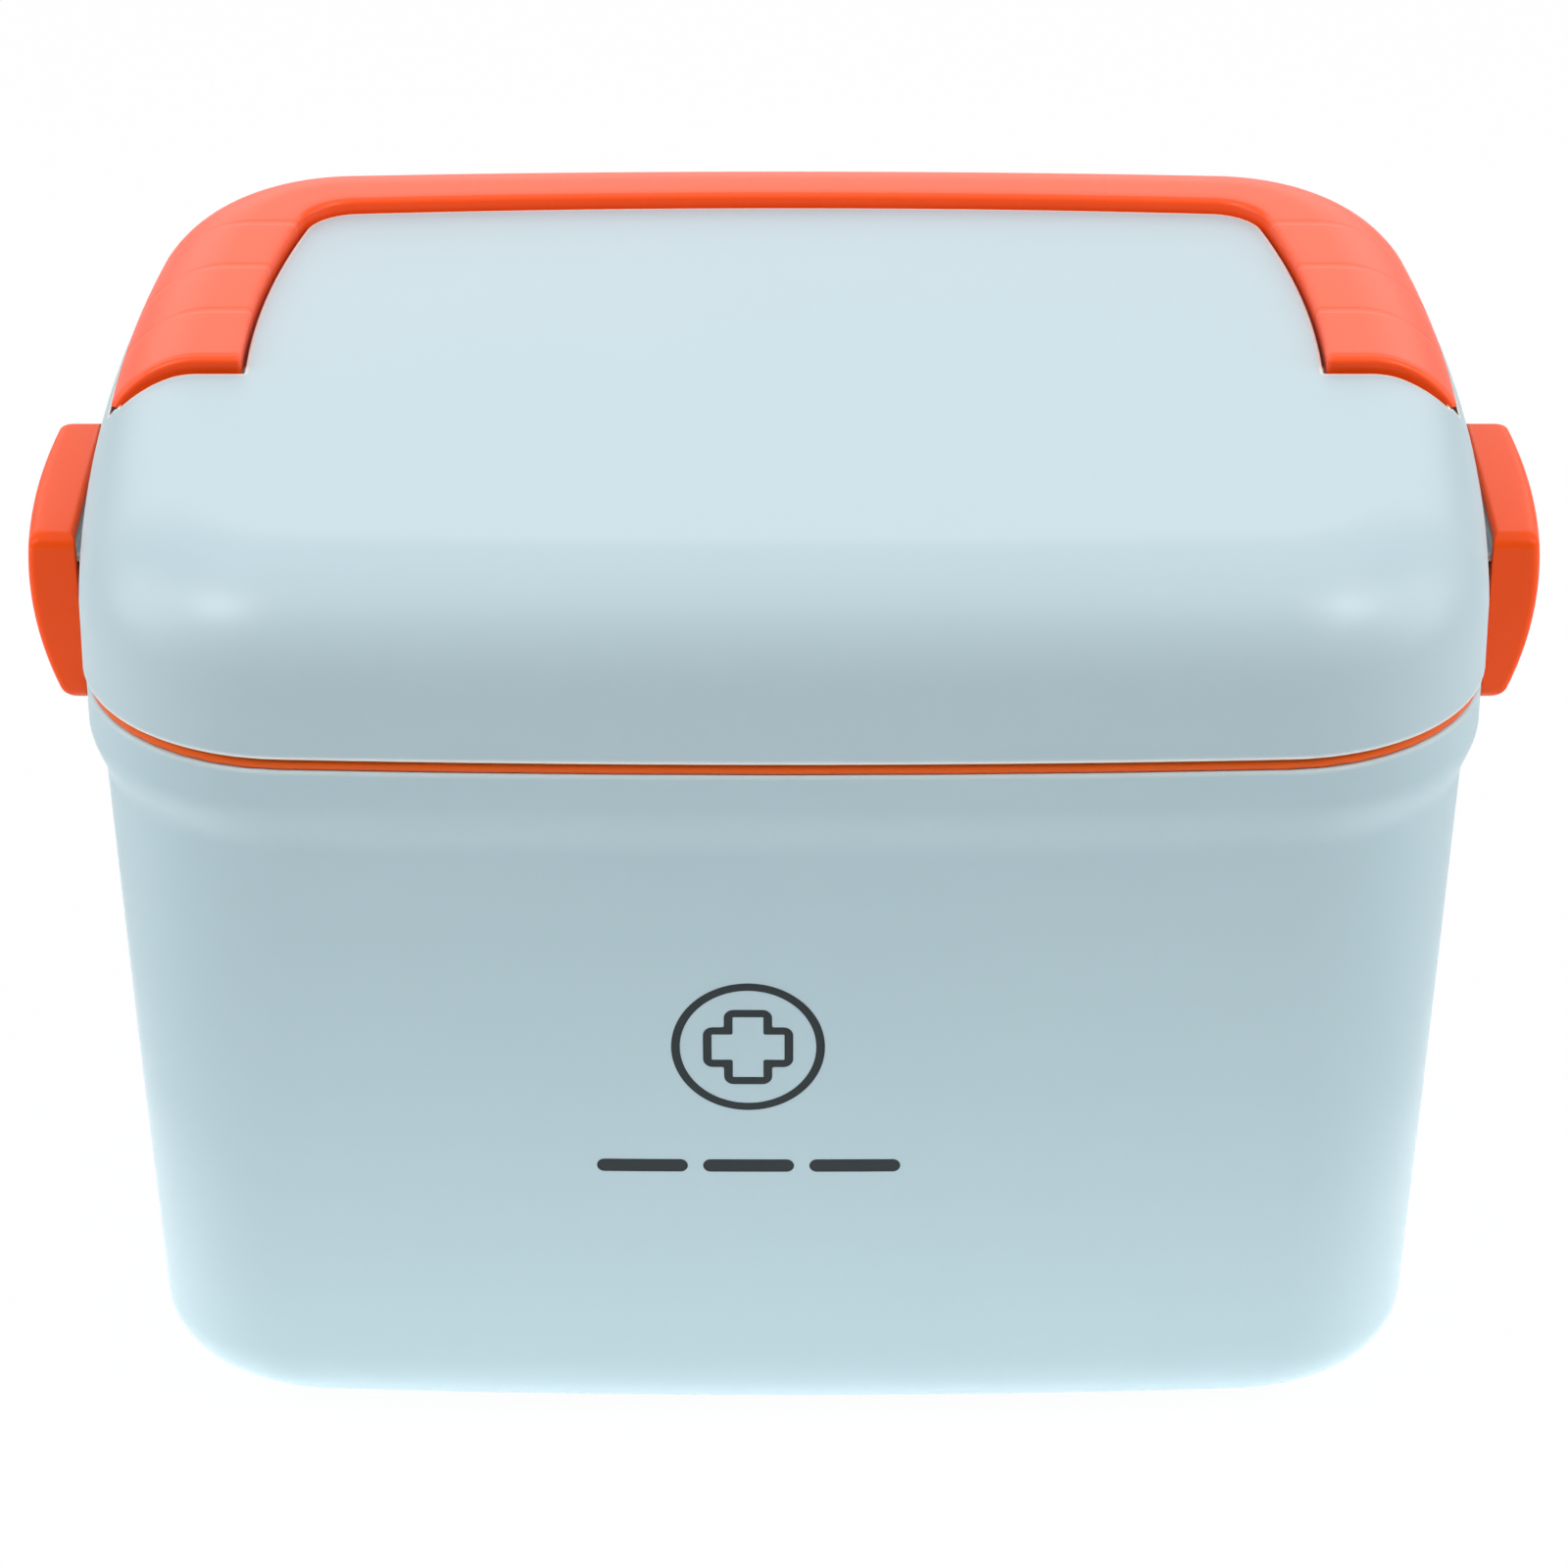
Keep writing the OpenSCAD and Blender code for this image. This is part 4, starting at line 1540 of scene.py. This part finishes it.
@dataclass
class FrontMark:
    """A plain print on the front: a ring round a cross in outline, over a row of three bars."""

    centre_x: float = -7.0
    centre_z: float = 96.0
    ahead: float = 120.0
    line: float = 1.7
    ring_r: float = 15.0
    cross_w: float = 9.4
    cross_len: float = 17.6
    corner_r: float = 1.9
    nook_r: float = 0.4
    row_z: float = 67.5
    row_h: float = 3.0
    row_len: float = 18.0
    row_pitch: float = 21.0
    film: float = 0.04
    bars: int = 3
    ring_steps: int = 96
    nook_steps: int = 6
    end_steps: int = 12
    cuts: int = 2

    def spot(self, x: float, z: float) -> Vector:
        """Places a point of the drawing ahead of the front wall."""
        return Vector((x, -self.ahead, z)) * MM

    def moved(self, points: list[Point]) -> list[Point]:
        """Moves points of the drawing to the mark's middle."""
        return [(x + self.centre_x, z + self.centre_z) for x, z in points]

    def circle(self, radius: float) -> list[Point]:
        """Draws a circle about the mark's middle."""
        turns = arc(0, 360, self.ring_steps)[:-1]
        return [(radius * math.cos(t), radius * math.sin(t)) for t in turns]

    def cross(self, inside: float) -> list[Point]:
        """Draws a cross with round corners.

        Args:
            inside: how far it is set in.

        Returns:
            Its points in X and Z, about the mark's middle.
        """
        half, arm = self.cross_len / 2 - inside, self.cross_w / 2 - inside
        r, nook = self.corner_r - inside, self.nook_r
        quarter = []
        for x, z, radius, start, end in (
            (half - r, arm - r, r, 0, 90),
            (arm + nook, arm + nook, nook, 270, 180),
            (arm - r, half - r, r, 0, 90),
        ):
            for t in arc(start, end, self.nook_steps):
                quarter.append((x + radius * math.cos(t), z + radius * math.sin(t)))
        points = []
        for _ in range(4):
            points += quarter
            quarter = [(-z, x) for x, z in quarter]
        return points

    def pill(self, x: float, z: float) -> list[Point]:
        """Draws a bar of the row, with round ends.

        Args:
            x: X of its middle.
            z: Z of its middle.

        Returns:
            Its points in X and Z.
        """
        r, flat = self.row_h / 2, (self.row_len - self.row_h) / 2
        points = []
        for end, start in ((flat, -90), (-flat, 90)):
            for t in arc(start, start + 180, self.end_steps):
                points.append((x + end + r * math.cos(t), z + r * math.sin(t)))
        return points

    def shape(self, points: list[Point], inner: list[Point] | None = None) -> Piece:
        """Makes a flat shape, filled or as a line.

        Args:
            points: the outer edge, in X and Z.
            inner: the line's inner edge with as many points; without it the shape is filled.

        Returns:
            The new object.
        """
        bpy.ops.object.select_all(action="DESELECT")
        fill = "NGON" if inner is None else "NOTHING"
        bpy.ops.mesh.primitive_circle_add(
            vertices=len(points), radius=self.ring_r * MM, fill_type=fill
        )
        shape = bpy.context.active_object
        for vert, (x, z) in zip(shape.data.vertices, points):
            vert.co = self.spot(x, z)
        if inner is not None:
            bpy.ops.object.mode_set(mode="EDIT")
            bpy.ops.mesh.select_all(action="SELECT")
            bpy.ops.mesh.extrude_edges_move()
            bpy.ops.object.mode_set(mode="OBJECT")
            for vert, (x, z) in zip(list(shape.data.vertices)[len(points) :], inner):
                vert.co = self.spot(x, z)
        return shape

    def drawing(self) -> Piece:
        """Draws the whole mark, flat and ahead of the wall.

        Returns:
            The mark as one flat object.
        """
        shapes = []
        for outer, inner in (
            (self.circle(self.ring_r), self.circle(self.ring_r - self.line)),
            (self.cross(0.0), self.cross(self.line)),
        ):
            shapes.append(self.shape(self.moved(outer), self.moved(inner)))
        for i in range(self.bars):
            x = self.centre_x + (i - (self.bars - 1) / 2) * self.row_pitch
            shapes.append(self.shape(self.pill(x, self.row_z)))
        return rename(join(shapes), "front_mark")

    def build(self, box: Piece, finishes: Finishes) -> Piece:
        """Builds the mark as a thin film that follows the front wall.

        Args:
            box: the finished box.
            finishes: the materials.

        Returns:
            The mark.
        """
        mark = self.drawing()
        edit_all(mark)
        bpy.ops.mesh.quads_convert_to_tris()
        bpy.ops.mesh.subdivide(number_cuts=self.cuts)
        bm = bmesh.from_edit_mesh(mark.data)
        bpy.ops.mesh.select_mode(type="FACE")
        for face in bm.faces:
            face.select = face.normal.y > 0
        bmesh.update_edit_mesh(mark.data)
        bpy.ops.mesh.flip_normals()
        bpy.ops.object.mode_set(mode="OBJECT")
        bpy.ops.object.modifier_add(type="SHRINKWRAP")
        wrap = mark.modifiers[-1]
        wrap.target = box
        wrap.wrap_method = "PROJECT"
        wrap.use_project_y = True
        wrap.use_project_x = wrap.use_project_z = False
        wrap.use_positive_direction, wrap.use_negative_direction = True, False
        bpy.ops.object.modifier_apply(modifier=wrap.name)
        bpy.ops.object.modifier_add(type="SOLIDIFY")
        skin = mark.modifiers[-1]
        skin.thickness = self.film * MM
        skin.offset = 1.0
        bpy.ops.object.modifier_apply(modifier=skin.name)
        finish(mark, Body.BASE, finishes.ink)
        return mark


@dataclass
class Pins:
    """The steel pins, which keep their packed form."""

    names: tuple[str, ...] = (
        "handle_pin_left",
        "handle_pin_right",
        "latch_pin_left",
        "latch_pin_right",
    )

    def dress(self, frame: dict, finishes: Finishes) -> None:
        """Gives the pins their steel.

        Args:
            finishes: the materials.
        """
        for name in self.names:
            node = frame["nodes"][name]
            node.data.materials.clear()
            node.data.materials.append(finishes.steel)
            LOG.info("%s: dressed in steel", name)


# ---- Studio


@dataclass(frozen=True)
class Lamp:
    """A soft rectangular lamp that points at the case. Lengths are in metres, power in watts."""

    name: str
    place: Corner
    size: Point
    power: float
    target: Corner = (0.0, 0.0, 0.1)

    def build(self) -> None:
        """Adds the lamp, which lights and is mirrored but isn't seen itself."""
        bpy.ops.object.select_all(action="DESELECT")
        bpy.ops.object.light_add(type="AREA", location=self.place)
        lamp = bpy.context.active_object
        lamp.name = self.name
        aim = Vector(self.target) - Vector(self.place)
        lamp.rotation_euler = aim.to_track_quat("-Z", "Y").to_euler()
        lamp.data.shape = "RECTANGLE"
        lamp.data.size, lamp.data.size_y = self.size
        lamp.data.energy = self.power
        lamp.visible_camera = False


@dataclass
class Studio:
    """A pale floor, a white surround, soft lamps and the camera.

    Front, side and top lamps give the broad sheens, the back lamp stands for the bright wall behind
    the case, and the table lamp for the light that a white table throws back up.
    """

    camera_place: Corner = (0.0, -0.93964, 0.64019)
    camera_down: float = 30.0
    lens: float = 117.81
    sensor: float = 36.0
    clip_start: float = 0.05
    floor_size: float = 12.0
    floor_drop: float = 0.4
    floor_share: float = 0.97
    floor_colour: str = "#F4F5F6"
    lamps: tuple[Lamp, ...] = (
        Lamp("lamp_top", (0.0, 0.0, 1.3), (1.5, 1.4), 7.7),
        Lamp("lamp_back", (0.0, 1.8, 0.95), (3.0, 1.3), 12.0),
        Lamp("lamp_left", (-1.3, -0.1, 0.6), (0.9, 0.9), 6.8),
        Lamp("lamp_right", (1.3, -0.1, 0.6), (0.9, 0.9), 6.8),
        Lamp("lamp_front_left", (-0.92, -0.66, 1.28), (0.40, 0.40), 9.3),
        Lamp("lamp_front_right", (0.92, -0.66, 1.28), (0.40, 0.40), 9.3),
        Lamp("lamp_table", (0.0, 0.0, 0.001), (0.43, 0.46), 0.51, (0.0, 0.0, 1.0)),
    )

    def floor(self) -> None:
        """Adds a white floor, which keeps the object's shadow."""
        bpy.ops.object.select_all(action="DESELECT")
        place = (0, 0, -self.floor_drop * MM)
        bpy.ops.mesh.primitive_plane_add(size=self.floor_size, location=place)
        floor = rename(bpy.context.active_object, "studio_floor")
        material = new_material("white_floor")
        tree = material.node_tree
        paper = add_node(tree, "ShaderNodeBsdfDiffuse", {"Color": linear(self.floor_colour)})
        glow = add_node(tree, "ShaderNodeEmission", {"Color": WHITE, "Strength": 1.0})
        path = add_node(tree, "ShaderNodeLightPath")
        share = maths(tree, "MULTIPLY", path.outputs["Is Camera Ray"], self.floor_share)
        inputs = {0: share, 1: paper.outputs[0], 2: glow.outputs[0]}
        both = add_node(tree, "ShaderNodeMixShader", inputs)
        add_node(tree, "ShaderNodeOutputMaterial", {"Surface": both.outputs[0]})
        floor.data.materials.append(material)

    def surround(self) -> None:
        """Makes a world that is white to the camera and in reflections, with no other light."""
        world = bpy.data.worlds.new("studio")
        bpy.context.scene.world = world
        world.use_nodes = True
        tree = world.node_tree
        tree.nodes.clear()
        path = add_node(tree, "ShaderNodeLightPath")
        rays = path.outputs["Is Camera Ray"], path.outputs["Is Glossy Ray"]
        seen = maths(tree, "MAXIMUM", *rays)
        glow = add_node(tree, "ShaderNodeBackground", {"Color": WHITE, "Strength": seen})
        add_node(tree, "ShaderNodeOutputWorld", {"Surface": glow.outputs[0]})

    def camera(self) -> None:
        """Places the camera where the photograph was taken."""
        bpy.ops.object.select_all(action="DESELECT")
        bpy.ops.object.camera_add(
            location=self.camera_place, rotation=(math.radians(90 - self.camera_down), 0, 0)
        )
        camera = bpy.context.active_object
        camera.name = "camera"
        camera.data.lens = self.lens
        camera.data.sensor_width = self.sensor
        camera.data.sensor_fit = "HORIZONTAL"
        camera.data.clip_start = self.clip_start
        bpy.context.scene.camera = camera

    def build(self) -> None:
        """Builds the studio."""
        bpy.context.scene.view_settings.view_transform = "Standard"
        self.camera()
        self.floor()
        self.surround()
        for lamp in self.lamps:
            lamp.build()


def main() -> None:
    """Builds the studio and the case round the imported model."""
    logging.basicConfig(level=logging.INFO, format="%(name)s: %(message)s")
    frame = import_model()
    Studio().build()
    outline = Outline()
    finishes = Finishes()
    latch = Latch(outline)
    box = BaseBox(outline).build(finishes)
    InnerTray().build(frame, finishes)
    Lid(outline).build(latch, finishes)
    Handle(outline).build(finishes)
    latch.build(finishes)
    FrontMark().build(box, finishes)
    Pins().dress(frame, finishes)


if __name__ == "__main__":
    main()
